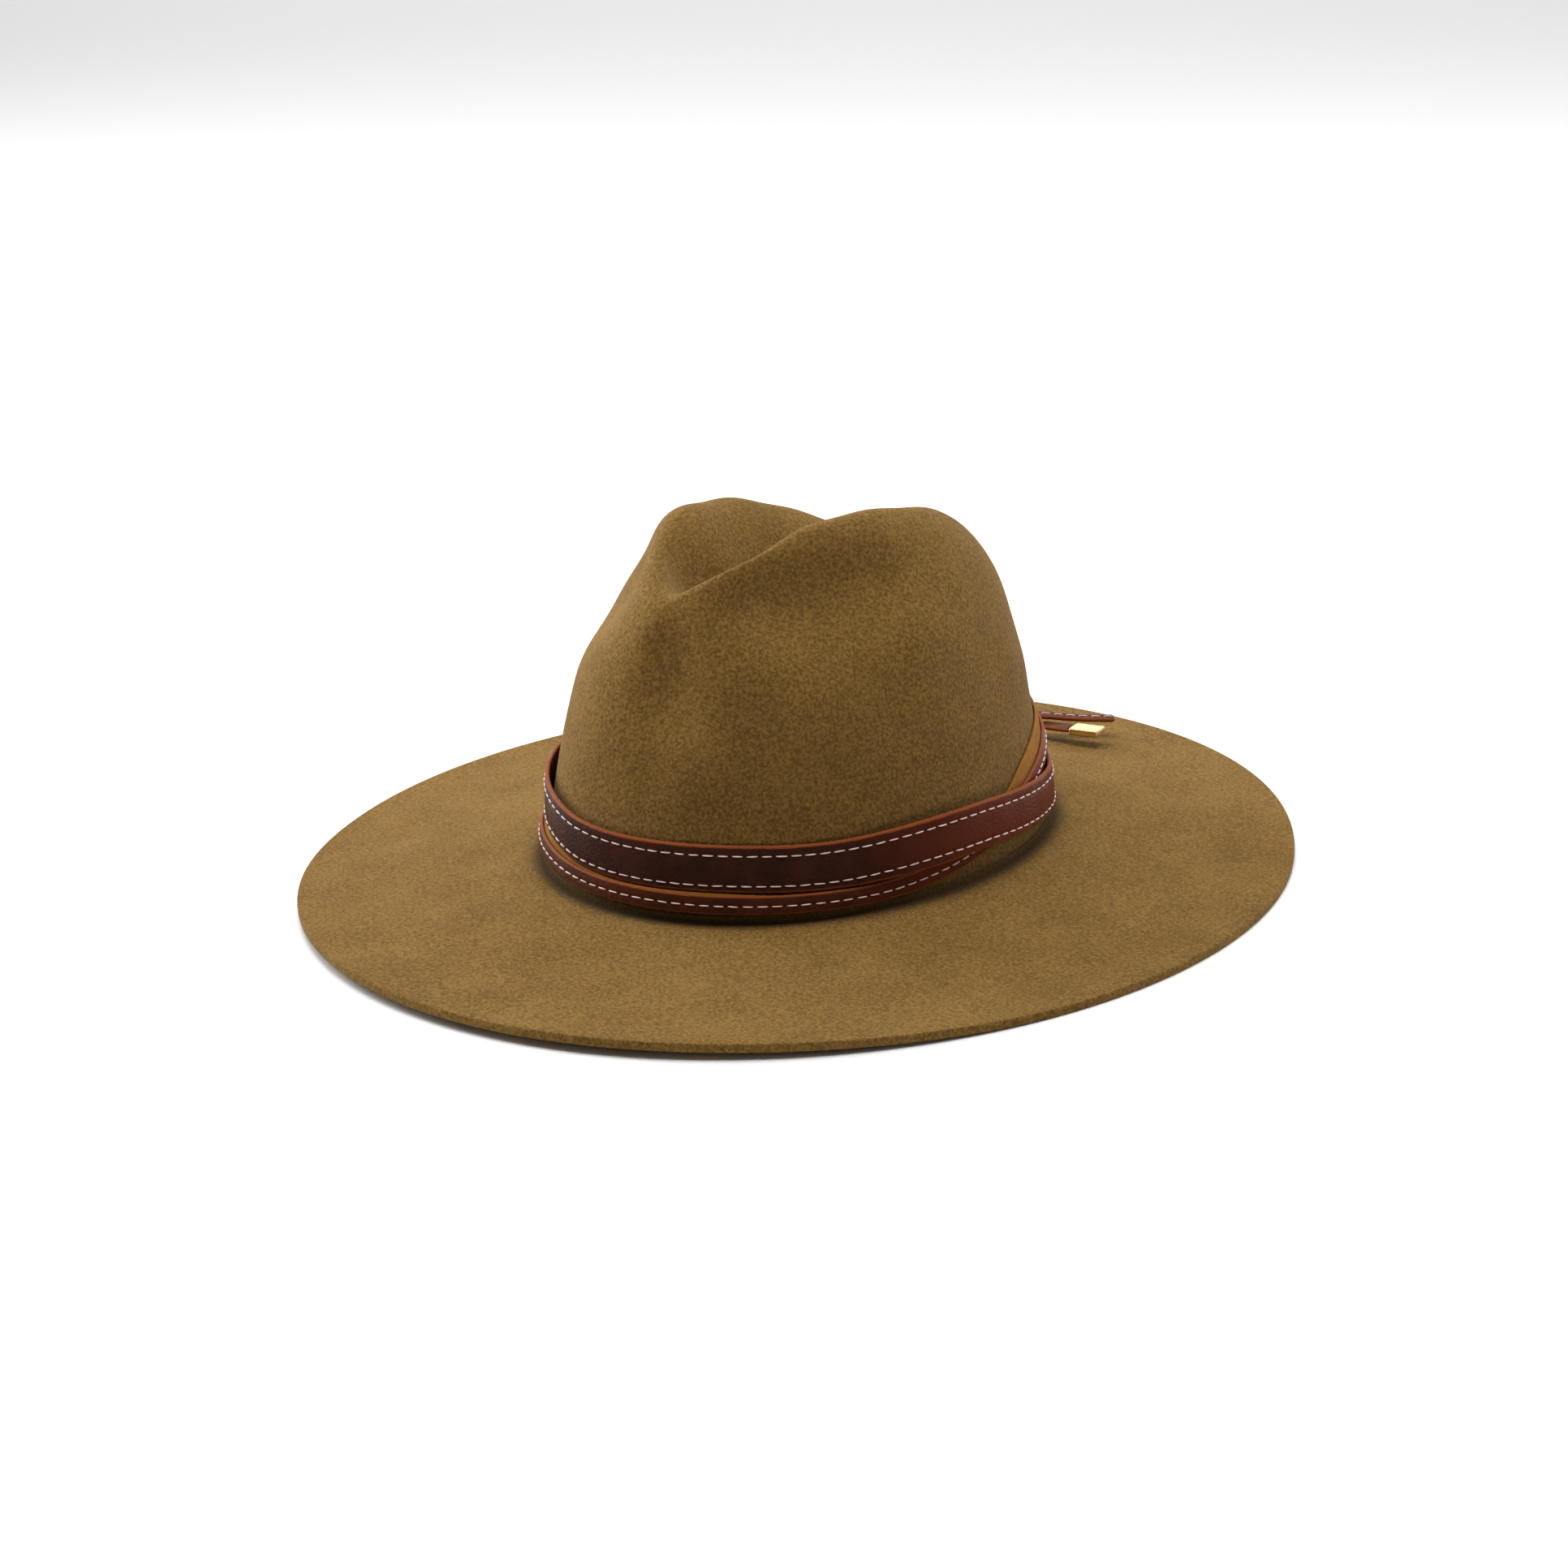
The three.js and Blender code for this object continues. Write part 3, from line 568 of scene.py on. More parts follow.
def thread_finish():
    material, tree, shader = new_material("waxed_thread", roughness=0.55)
    tint = group_node(tree, uneven_tint, cloud_scale=260.0, speckle_scale=2200.0, speckle_share=0.25)["Tint"]
    tree.links.new(mix_colour(tree, tint, THREAD_PINK, THREAD_WHITE), shader.inputs["Base Color"])
    return material


thread = thread_finish()
print("finish", thread.name)

# %% Metal finish
GOLD_DARK = (0.66, 0.49, 0.22)
GOLD_LIGHT = (0.78, 0.60, 0.32)


def metal_finish():
    material, tree, shader = new_material("gold_metal", roughness=0.24, metallic=1.0)
    tint = group_node(tree, uneven_tint, cloud_scale=220.0, speckle_scale=3000.0, speckle_share=0.4)["Tint"]
    tree.links.new(mix_colour(tree, tint, GOLD_DARK, GOLD_LIGHT), shader.inputs["Base Color"])
    polish = ramp(tree, tint, 0.0, 1.0, to_low=0.34, to_high=0.18)
    tree.links.new(polish, shader.inputs["Roughness"])
    scratches = group_node(tree, fine_relief, cell_scale=400.0, cell_share=0.1, fibre_scale=5000.0)["Height"]
    relief(tree, shader, scratches, distance=0.00004)
    return material


gold = metal_finish()
print("finish", gold.name)

# %% [markdown]
# ## The felt body
# The skin starts in the crease, runs out and down the crown, turns over the brim, goes round the cut edge and
# comes back under the brim and up inside the crown. So the felt is a closed, hollow shell with a true wall of
# three millimetres, and the head fits into it. It could be sculpted, but rings from one formula stay in the
# place of the plain solid. Pressed felt is never perfectly even: a slow unevenness of about half a millimetre
# keeps the highlights from looking machine made. It fades out where the straps lie, so that they keep their
# place.

# %% Slow unevenness of hand-pressed felt
WAVES = 14
SHORTEST_WAVE = 28.0
LONGEST_WAVE = 80.0


def unevenness(points, seed, size):
    """A smooth random field in millimetres, made of a few long waves with fixed directions."""
    draw = np.random.default_rng(seed)
    field = np.zeros(points.shape[:-1])
    for _ in range(WAVES):
        direction = draw.normal(size=3)
        wave = draw.uniform(SHORTEST_WAVE, LONGEST_WAVE)
        direction *= 2 * np.pi / (wave * np.linalg.norm(direction))
        field += np.sin(points @ direction + draw.uniform(0, 2 * np.pi)) / WAVES ** 0.5
    return field * size


# %% Rings of the crown, from the crease down to its foot
FELT_COLUMNS = 288
CROWN_ROWS = 150
CROWN_SEED = 3
CROWN_UNEVENNESS = 0.8
UNEVEN_ABOVE = 58.0
UNEVEN_OVER = 25.0
felt_angles = np.arange(FELT_COLUMNS) / FELT_COLUMNS * 2 * np.pi


def ring_normals(rings):
    """Outward directions of a block of rings that run from the top downward."""
    around = np.roll(rings, -1, axis=1) - np.roll(rings, 1, axis=1)
    down = np.gradient(rings, axis=0)
    normal = np.cross(down, around)
    return normal / np.linalg.norm(normal, axis=-1, keepdims=True)


def crown_rings(rows):
    radius, height = dome_profile(rows)
    radius, height = radius[1:-1][::-1], height[1:-1][::-1]
    return crown_point(felt_angles[None, :], radius[:, None], height[:, None])


crown_outside = crown_rings(CROWN_ROWS)
outward = ring_normals(crown_outside)
clear_of_straps = smooth((crown_outside[..., 2] - UNEVEN_ABOVE) / UNEVEN_OVER)
bumps = clear_of_straps * unevenness(crown_outside, CROWN_SEED, CROWN_UNEVENNESS)
crown_outside = crown_outside + outward * bumps[..., None]
crown_top = round(float(crown_outside[..., 2].max()), 1)
print("crown", crown_outside.shape[0], "rings of", FELT_COLUMNS, "points, top", crown_top, "mm up")

# %% Rings of the rounded corner between crown and brim
FILLET_ROWS = 7
angles = felt_angles[None, :]
fillet = np.linspace(0, np.pi / 2, FILLET_ROWS)[:, None]
fillet_out = BREAK_FILLET * (1 - np.cos(fillet))
fillet_up = BREAK_FILLET * (1 - np.sin(fillet))
break_rings = around_head(angles, fillet_out, brim_top(angles, fillet_out) + fillet_up)
print("corner", break_rings.shape[0], "rings")

# %% Rings of the brim's top side
BRIM_FROM = 3.5
BRIM_ROWS = 30
NEAR_EDGE_FROM = 86.2
NEAR_EDGE_ROWS = 5
EDGE_INSET = 0.9
BRIM_SEED = 5
BRIM_UNEVENNESS = 0.35
EVEN_AT_CROWN = 8.0
EVEN_AT_EDGE = 14.0
UNEVEN_FADE = 14.0


def brim_rings(outs, down):
    out = outs[:, None]
    return around_head(angles, out, brim_top(angles, out) - down)


flat_edge = BRIM_REACH * FLAT_EDGE_SHARE
near_edge = BRIM_REACH - EDGE_INSET
over_brim = np.linspace(BRIM_FROM, flat_edge, BRIM_ROWS)
brim_outs = np.concatenate([over_brim, np.linspace(NEAR_EDGE_FROM, near_edge, NEAR_EDGE_ROWS)])
brim_upper = brim_rings(brim_outs, 0.0)
clear_of_both = np.minimum(brim_outs - EVEN_AT_CROWN, BRIM_REACH - EVEN_AT_EDGE - brim_outs)
fade_out = smooth(clear_of_both / UNEVEN_FADE)[:, None]
brim_upper[..., 2] += fade_out * unevenness(brim_upper, BRIM_SEED, BRIM_UNEVENNESS)
print("brim's top side", brim_upper.shape[0], "rings")

# %% Rings of the raw cut edge and of the underside
EDGE_SOFTENING = 0.5
EDGE_TURN = np.radians(75)
EDGE_ROWS = 9
EDGE_FULLNESS = 0.6
EDGE_HEIGHT_SHARE = 0.985
UNDER_BRIM_FROM = 6.0
UNDER_BRIM_ROWS = 18
UNDER_EDGE_ROWS = 3

edge_turn = np.linspace(EDGE_TURN, -EDGE_TURN, EDGE_ROWS)[:, None]
edge_out = BRIM_REACH - EDGE_SOFTENING + EDGE_SOFTENING * np.cos(edge_turn) ** EDGE_FULLNESS
edge_up = FELT_THICKNESS / 2 * EDGE_HEIGHT_SHARE * np.sin(edge_turn) / np.sin(EDGE_TURN)
edge_rings = around_head(angles, edge_out, brim_top(angles, BRIM_REACH) - FELT_THICKNESS / 2 + edge_up)

under_near_edge = np.linspace(near_edge, NEAR_EDGE_FROM, UNDER_EDGE_ROWS)
under_outs = np.concatenate([under_near_edge, np.linspace(flat_edge, UNDER_BRIM_FROM, UNDER_BRIM_ROWS)])
brim_under = brim_rings(under_outs, FELT_THICKNESS)
print("edge and underside", edge_rings.shape[0] + brim_under.shape[0], "rings")

# %% Rings of the mouth and of the inside of the crown
MOUTH_FROM = 2.5
MOUTH_REACH = 5.5
MOUTH_FLATNESS = 0.55
MOUTH_TURN_FROM = 0.25
MOUTH_TURN_TO = 1.35
MOUTH_ROWS = 5
INSIDE_ROWS = 64

mouth_turn = np.linspace(MOUTH_TURN_FROM, MOUTH_TURN_TO, MOUTH_ROWS)[:, None]
mouth_out = MOUTH_FROM - MOUTH_REACH * np.sin(mouth_turn)
mouth_down = FELT_THICKNESS - MOUTH_REACH * MOUTH_FLATNESS * (1 - np.cos(mouth_turn))
under_break = around_head(angles, mouth_out, brim_top(angles, np.maximum(mouth_out, 0)) - mouth_down)

inside_top_down = crown_rings(INSIDE_ROWS)
crown_inside = (inside_top_down - ring_normals(inside_top_down) * FELT_THICKNESS)[::-1]
print("mouth and inside", under_break.shape[0] + crown_inside.shape[0], "rings")

# %% One closed skin from the crease to the inside, and the mark for the painted shade in its fold
felt_rings = np.concatenate([crown_outside, break_rings, brim_upper, edge_rings,
                             brim_under, under_break, crown_inside])
FOLD_OUT = 2.0
FOLD_UP = 0.5
FOLD_REACH = 3.4

crease_floor = crown_point(0.0, 0.0, 1.0)
felt_poles = (crease_floor - [0, 0, FELT_THICKNESS], crease_floor)
# painted shade: the fold mark darkens a band along the break under the straps
fold_line = around_head(felt_angles, FOLD_OUT, BREAK_HEIGHT + FOLD_UP)
fold_shade_mark = hollow(np.linalg.norm(felt_rings - fold_line, axis=-1) / FOLD_REACH)
felt_body = loft_mesh("hat_felt", felt_rings[::-1], poles=felt_poles, marks={"fold": fold_shade_mark[::-1]})
add_to_hat(felt_body, "felt", felt, "felt_body")

# %% [markdown]
# ## Straps round the crown
# Three straps lie on each other round the foot of the crown, and they change places on the way: the lower one
# shows below the upper one at the front, passes behind it at the wearer's left and comes out above it. Cloth
# simulation could drape them, but it wouldn't end where the photograph shows them. So each strap has a short
# table. A row gives the angle round the head, the height of the strap's middle, half of its width, the gap to
# the felt and how far its top edge leans outward. Between the rows a smooth curve runs through.

# %% Tables of the straps
STRAP_COLUMNS = ("at", "middle", "half", "gap", "lean")
UPPER_STRAP = [
    (-165, 39.1, 8.1, 0.3, 1.7), (-142, 38.3, 8.1, 0.3, 2.3), (-120, 35.9, 8.1, 0.4, 2.1),
    (-105, 33.5, 8.1, 0.4, 1.6), (-90, 32.6, 8.1, 0.4, 0.9), (-65, 32.5, 8.1, 0.4, 0.2),
    (-40, 31.75, 8.25, 1.2, 0.0), (-18, 33.4, 8.6, 3.4, 0.0), (-4, 33.3, 8.4, 3.3, 0.1),
    (8, 31.6, 8.2, 3.2, 0.3), (20, 29.6, 8.1, 2.7, 0.9), (30, 28.6, 8.1, 2.2, 1.3),
    (36, 28.5, 8.1, 1.3, 1.1), (43, 28.6, 8.1, 0.4, 0.7), (65, 30.5, 8.1, 0.4, 0.3),
    (90, 33.3, 8.1, 0.5, 0.2), (120, 36.3, 8.1, 0.5, 0.2), (160, 38.9, 8.1, 0.5, 0.4),
]
LOWER_STRAP = [
    (-165, 23.4, 3.3, 2.6, 0.0), (-142, 23.0, 3.3, 2.2, 0.0), (-120, 22.4, 3.3, 2.1, 0.0),
    (-105, 21.5, 3.3, 2.3, 0.0), (-90, 21.1, 3.3, 2.7, 0.0), (-65, 20.6, 3.3, 3.0, 0.0),
    (-47, 20.0, 3.3, 2.7, 0.0), (-30, 19.8, 3.3, 1.8, 0.0), (-18, 21.6, 3.3, 1.6, 0.0),
    (-7, 24.6, 3.3, 1.6, 0.0), (5, 30.0, 3.3, 1.6, 0.0), (15, 34.8, 3.3, 1.6, 0.0),
    (26, 38.5, 3.3, 1.6, 0.0), (38, 41.3, 3.3, 1.6, 0.0), (65, 43.9, 3.3, 2.2, 0.0),
    (90, 46.1, 3.3, 3.4, 0.0), (115, 43.3, 3.3, 4.3, 0.0), (140, 34.3, 3.3, 4.4, 0.0),
    (165, 26.1, 3.3, 4.3, 0.0),
]
OCHRE_STRAP = [
    (-165, 25.6, 2.8, 1.2, 0.0), (-142, 26.2, 2.8, 0.9, 0.0), (-120, 24.5, 2.8, 0.8, 0.0),
    (-105, 22.2, 2.8, 0.9, 0.0), (-90, 21.3, 2.8, 1.3, 0.0), (-65, 21.2, 2.8, 1.7, 0.0),
    (-47, 19.8, 2.8, 1.4, 0.0), (-30, 19.5, 2.8, 0.4, 0.0), (-18, 21.5, 2.8, 0.3, 0.0),
    (-7, 25.2, 3.0, 0.3, 0.0), (8, 34.0, 3.8, 0.3, 0.0), (16, 39.6, 4.2, 0.3, 0.0),
    (26, 44.0, 4.4, 0.3, 0.0), (38, 46.8, 4.4, 0.3, 0.0), (65, 48.8, 4.2, 0.8, 0.0),
    (90, 50.0, 3.6, 2.1, 0.0), (115, 46.0, 3.2, 2.95, 0.0), (140, 36.0, 3.0, 3.0, 0.0),
    (165, 27.2, 2.9, 2.95, 0.0),
]
UPPER_THICKNESS = 1.8
LOWER_THICKNESS = 1.3
OCHRE_THICKNESS = 1.0


def strap_line(table, degrees):
    """The table's columns at any angles, by cubic curves through its rows, all the way round."""
    rows = np.array(table, dtype=float)
    one_turn = np.array([360, 0, 0, 0, 0])
    rows = np.concatenate([rows[-2:] - one_turn, rows, rows[:2] + one_turn])
    at = rows[:, 0]
    slopes = (rows[2:] - rows[:-2]) / (at[2:] - at[:-2])[:, None]
    i = np.searchsorted(at, degrees, side="right") - 1
    span = (at[i + 1] - at[i])[:, None]
    t = ((degrees - at[i]) / (at[i + 1] - at[i]))[:, None]
    values = ((2 * t**3 - 3 * t**2 + 1) * rows[i] + (t**3 - 2 * t**2 + t) * span * slopes[i - 1]
              + (3 * t**2 - 2 * t**3) * rows[i + 1] + (t**3 - t**2) * span * slopes[i])
    return dict(zip(STRAP_COLUMNS, values.T[:, :, None]))


print("rows", len(UPPER_STRAP), len(LOWER_STRAP), len(OCHRE_STRAP))

# %% [markdown]
# ### The wall that the straps lie on
# A strap lies on the felt, so its place comes from the wall of the crown. The dome's formula gives a height
# for each place on its profile, and halving an interval again and again turns that round: it finds the place
# that has the height asked for.

# %% Places on the wall of the crown
WALL_TOP = 0.6
HALVINGS = 32


def wall_point(angle, z):
    low = np.zeros(np.broadcast_shapes(angle.shape, z.shape))
    high = np.full(low.shape, WALL_TOP)
    for _ in range(HALVINGS):
        middle = (low + high) / 2
        radius = (1 - middle ** SHOULDER_POWER) ** (1 / SHOULDER_POWER)
        below = crown_point(angle, radius, middle)[..., 2] < z
        low = np.where(below, middle, low)
        high = np.where(below, high, middle)
    return crown_point(angle, (1 - low ** SHOULDER_POWER) ** (1 / SHOULDER_POWER), low)


def on_wall(line, angle, up, out):
    """A point of a strap: up from its middle line, out from its inner face."""
    lean = line["lean"] * (0.5 + up / (2 * line["half"]))
    outward = np.stack([np.cos(angle), np.sin(angle), np.zeros_like(angle)], axis=-1)
    return wall_point(angle, line["middle"] + up) + outward * (line["gap"] + lean + out)[..., None]


# %% [markdown]
# ## Cross-section of a strap
# A cut leather strap is a flat bar with rounded, burnished edges. Its face swells a little between the seams,
# and each seam pulls a shallow groove into it, with a small hole where the thread goes through. These are
# real dents in the mesh and not only bump, because the light along the edge of the strap shows them. A seam
# keeps a fixed distance to the strap's top edge, as it does when the edge runs along a sewing guide.

# %% Section and seams of a strap
FACE_POINTS = 26
EDGE_POINTS = 8
BACK_PLACES = np.array([0.7, 0.0, -0.7])
STITCH_PITCH = 5.15
SEAM_GROOVE = 0.16
HOLE_DEPTH = 0.30
HOLE_REACH = 0.55
GROOVE_HALF_WIDTH = 0.75
FACE_SWELL = 0.14


def strap_section(half, thickness):
    """Closed outline of a strap: how far up and out, and a weight that is 1 on the face."""
    edge = thickness / 2
    face = np.linspace(-1, 1, FACE_POINTS)
    turn = np.linspace(np.pi / 2, -np.pi / 2, EDGE_POINTS + 2)[1:-1]
    flat = half - edge
    rounded = edge * np.cos(turn)
    over = edge * np.sin(turn)
    up = np.concatenate([face * flat, flat + rounded, BACK_PLACES * flat, -flat - rounded])
    out = np.concatenate([np.full(FACE_POINTS, thickness), edge + over, BACK_PLACES * 0, edge - over])
    on_face = np.concatenate([np.ones(FACE_POINTS), np.zeros(len(up) - FACE_POINTS)])
    return up, out, on_face


def length_along(path, closed=True):
    steps = np.linalg.norm(np.diff(path, axis=0, append=path[:1] if closed else path[-1:]), axis=-1)
    return np.concatenate([[0], np.cumsum(steps)])


def seam_dent(length, total, distance_up):
    """How deep the seam pulls the face in, from the place along the seam and the distance across from it."""
    stitches = round(total / STITCH_PITCH)
    phase = length * stitches / total
    from_hole = np.abs(phase - np.round(phase)) * total / stitches
    groove = SEAM_GROOVE * hollow(distance_up / GROOVE_HALF_WIDTH)
    hole = HOLE_DEPTH * hollow(from_hole / HOLE_REACH) * hollow(distance_up / HOLE_REACH)
    return groove + hole


# %% A strap all the way round, with its seams
STRAP_STARTS_AT = -165.0
REDDER_FROM = -45.0
REDDER_TO = 105.0
REDDER_FADE = 50.0


def make_strap(name, table, thickness, sections, seams, slot, material, node):
    angle = np.arange(sections)[:, None] / sections * 2 * np.pi + np.radians(STRAP_STARTS_AT)
    line = strap_line(table, np.degrees(angle[:, 0]))
    up, out, on_face = strap_section(float(line["half"].max()), thickness)
    share = up / line["half"].max()
    up = share[None, :] * line["half"]
    out = np.broadcast_to(out, up.shape).copy()
    out += FACE_SWELL * (1 - share ** 2) * on_face
    lines = []
    for below_top in seams:
        seam = line["half"] - below_top
        path = on_wall(line, angle, seam, np.full_like(angle, thickness))[:, 0]
        length = length_along(path)
        out -= seam_dent(length[:-1, None], length[-1], up - seam) * on_face
        lines.append((path, length))
    points = on_wall(line, angle, up, out)
    degrees = np.degrees(angle)
    # painted sheen: a band round the wearer's left where the face is painted redder, partly its own tone
    red_and_painted_sheen = smooth((degrees - REDDER_FROM) / REDDER_FADE) * smooth((REDDER_TO - degrees) / REDDER_FADE)
    marks = {"across": (share[::-1] + 1) / 2, "red_and_painted_sheen": red_and_painted_sheen}
    piece = loft_mesh(name, points[:, ::-1], closed=True, marks=marks)
    add_to_hat(piece, slot, material, node)
    return lines


# %% The three straps
UPPER_SEAMS = (13.9, 3.5)
LOWER_SEAMS = (3.6,)
STITCHED_SECTIONS = 1240
PLAIN_SECTIONS = 480

upper_seams = make_strap("upper_strap_leather", UPPER_STRAP, UPPER_THICKNESS, STITCHED_SECTIONS, UPPER_SEAMS,
                         "dark_leather", dark_leather, "upper_strap")
lower_seams = make_strap("lower_strap_leather", LOWER_STRAP, LOWER_THICKNESS, STITCHED_SECTIONS, LOWER_SEAMS,
                         "brown_leather", brown_leather, "lower_strap")
make_strap("ochre_strap_suede", OCHRE_STRAP, OCHRE_THICKNESS, PLAIN_SECTIONS, (),
           "ochre_suede", suede, "ochre_strap")

# %% [markdown]
# ## Stitches
# A stitch is a short length of two-ply thread that comes out of one hole and goes down the next. It could be
# painted on, but at the edges of the hat it stands up and catches light, so each one is a small twisted
# capsule. One helper lays them along any seam and joins all the stitches of a strap into one mesh.

# %% Rings of one stitch: a capsule of twisted thread that arches from hole to hole
THREAD_RADIUS = 0.26
STITCH_LENGTH = 3.8
STITCH_SIDES = 8
STITCH_RINGS = 9
STITCH_BURY = 0.12
ARCH_HEIGHT = 1.1
ARCH_POWER = 0.7
THREAD_END_SHARE = 0.35
PLY_DEPTH = 0.07
PLY_TWIST = 5.0


def stitch_rings(middle, direction, out, half, slant):
    ring = np.arange(STITCH_SIDES) / STITCH_SIDES * 2 * np.pi
    side = np.cross(out, direction)
    rings = []
    for t in np.linspace(-1, 1, STITCH_RINGS):
        dome = np.sqrt(max(0.0, 1 - t * t))
        rise = THREAD_RADIUS * ARCH_HEIGHT * dome ** ARCH_POWER - STITCH_BURY
        radius = THREAD_RADIUS * mix(THREAD_END_SHARE, 1.0, dome ** 0.5)
        centre = middle + direction * (t * half) + out * rise + side * (slant * t)
        ply = 1 + PLY_DEPTH * np.cos(2 * ring - PLY_TWIST * t)
        sideways = np.outer(np.cos(ring) * ply, side)
        upright = np.outer(np.sin(ring) * ply, out)
        rings.append(centre + radius * (sideways + upright))
    return np.concatenate(rings)


def stitch_faces(first):
    """Faces of one stitch whose points start at a number in the joined mesh."""
    ring_starts = first + np.arange(STITCH_RINGS) * STITCH_SIDES
    faces = []
    for a, b in zip(ring_starts[:-1].tolist(), ring_starts[1:].tolist()):
        for k in range(STITCH_SIDES):
            n = (k + 1) % STITCH_SIDES
            faces.append([a + k, a + n, b + n, b + k])
    faces.append([first + k for k in range(STITCH_SIDES)][::-1])
    faces.append([int(ring_starts[-1]) + k for k in range(STITCH_SIDES)])
    return faces


# %% Helper that sews seams, with small faults as a hand-guided machine leaves them
STITCH_WANDER = 0.06
STITCH_SLANT = 0.05
STITCH_UNEVEN_LENGTH = 0.04


def at_length(place, length, values):
    return np.array([np.interp(place, length[:len(values)], values[:, axis]) for axis in range(3)])


def sew(name, seams, seed):
    draw = np.random.default_rng(seed)
    vertices, faces = [], []
    for path, outward, length, closed in seams:
        total = length[-1]
        count = round(total / STITCH_PITCH)
        closed_path = np.concatenate([path, path[:1]]) if closed else path
        closed_out = np.concatenate([outward, outward[:1]]) if closed else outward
        for i in range(count):
            middle = (i + 0.5) * total / count + draw.normal() * STITCH_WANDER
            start = at_length(middle - STITCH_LENGTH / 2, length, closed_path)
            end = at_length(middle + STITCH_LENGTH / 2, length, closed_path)
            out = at_length(middle, length, closed_out)
            out /= np.linalg.norm(out)
            direction = (end - start) / np.linalg.norm(end - start)
            slant = draw.normal() * STITCH_SLANT
            half = STITCH_LENGTH / 2 * (1 + draw.normal() * STITCH_UNEVEN_LENGTH)
            faces.extend(stitch_faces(len(vertices)))
            rings = stitch_rings((start + end) / 2, direction, out, half, slant)
            vertices.extend((rings * MM).tolist())
    add_to_hat(new_piece(name, vertices, faces), "thread", thread)


# %% Stitches of the two brown straps
def round_seam(path, length):
    outward = path * [1 / HEAD_HALF_WIDTH ** 2, 1 / HEAD_HALF_LENGTH ** 2, 0]
    return path, outward, length, True


sew("upper_stitches", [round_seam(*seam) for seam in upper_seams], seed=11)
sew("lower_stitches", [round_seam(*seam) for seam in lower_seams], seed=12)

# %% [markdown]
# ## Keeper, loose tails and metal tip
# At the back an upright piece of leather covers the place where the ends come out. The photograph hides it,
# so it stays plain. The two loose ends bend together over the back of the brim, one partly on the other. One
# carries a row of stitches, the other ends in a folded metal tip. A curve object with a bevel could make
# them, but a loft also carries the seam and the thinner ends. Both follow a short table of points along their
# middle line.

# %% Keeper
KEEPER_FROM, KEEPER_TO = 90.0, 101.25
KEEPER_BOTTOM, KEEPER_TOP = 25.0, 55.0
KEEPER_GAP = 5.6
KEEPER_THICKNESS = 1.6
KEEPER_SECTIONS = 41
KEEPER_CROWDING = 0.35
KEEPER_SWELL = 0.28
KEEPER_EDGE_SHARE = 0.10
KEEPER_EDGE_THINNESS = 0.1


def make_keeper():
    even = np.linspace(-1, 1, KEEPER_SECTIONS)
    side = mix(even, np.sin(even * np.pi / 2), KEEPER_CROWDING)
    angle = np.radians(KEEPER_FROM + (KEEPER_TO - KEEPER_FROM) * (side + 1) / 2)[:, None]
    half = (KEEPER_TOP - KEEPER_BOTTOM) / 2
    middle = (KEEPER_TOP + KEEPER_BOTTOM) / 2
    one = np.ones_like(angle)
    line = dict(middle=one * middle, half=one * half, gap=one * KEEPER_GAP, lean=one * 0)
    up, out, on_face = strap_section(half, KEEPER_THICKNESS)
    swell = KEEPER_SWELL * (1 - (up / half) ** 2) * on_face
    edge_round = np.clip((1 - np.abs(side)) / KEEPER_EDGE_SHARE, 0, 1)[:, None]
    thin = mix(KEEPER_EDGE_THINNESS, 1.0, np.sqrt(1 - (1 - edge_round) ** 2))
    out = KEEPER_THICKNESS / 2 + (out[None, :] - KEEPER_THICKNESS / 2 + swell) * thin
    points = on_wall(line, angle, np.broadcast_to(up, out.shape), out)
    marks = {"across": (up[::-1] / half + 1) / 2}
    keeper = loft_mesh("keeper_leather", points[:, ::-1], caps=True, marks=marks)
    add_to_hat(keeper, "keeper_leather", dark_leather, "back_keeper")


make_keeper()

# %% Middle lines of the tails
STITCHED_TAIL = [
    (-9, 106.6, 21.0), (-13, 122, 20.5), (-12, 138, 18.4), (-5, 149, 16.8), (5, 156, 15.6),
    (16, 164, 14.3), (27, 172.5, 13.7),
]
TIPPED_TAIL = [
    (-2, 106.6, 18.4), (-6, 119, 17.2), (-7, 134, 14.7), (-2, 146, 13.3), (8, 151.5, 13.0),
    (19.5, 153.5, 13.2),
]
FINE_STEPS = 2000


def smooth_path(table, samples):
    """A curve through the points whose bends are eased by the square root of their distances."""
    points = np.array(table, dtype=float)
    points = np.concatenate([[2 * points[0] - points[1]], points, [2 * points[-1] - points[-2]]])
    knots = np.concatenate([[0], np.cumsum(np.linalg.norm(np.diff(points, axis=0), axis=1) ** 0.5)])
    places = np.linspace(knots[1], knots[-2], FINE_STEPS)
    i = np.clip(np.searchsorted(knots, places, side="right") - 1, 1, len(knots) - 3)
    t = places[:, None]
    k = [knots[i + n][:, None] for n in (-1, 0, 1, 2)]
    q = [points[i + n] for n in (-1, 0, 1, 2)]

    def blend(a, b, ka, kb):
        return ((kb - t) * a + (t - ka) * b) / (kb - ka)
    first, second, third = (blend(q[n], q[n + 1], k[n], k[n + 1]) for n in range(3))
    fine = blend(blend(first, second, k[0], k[2]), blend(second, third, k[1], k[3]), k[1], k[2])
    length = length_along(fine, closed=False)[:-1]
    wanted = np.linspace(0, length[-1], samples)
    return np.stack([np.interp(wanted, length, fine[:, axis]) for axis in range(3)], axis=-1), length[-1]


def bar_frame(path):
    """Directions along, across and over a flat bar whose width stays level."""
    along = np.gradient(path, axis=0)
    along /= np.linalg.norm(along, axis=1, keepdims=True)
    across = np.cross([0, 0, 1], along)
    across /= np.linalg.norm(across, axis=1, keepdims=True)
    return along, across, np.cross(along, across)


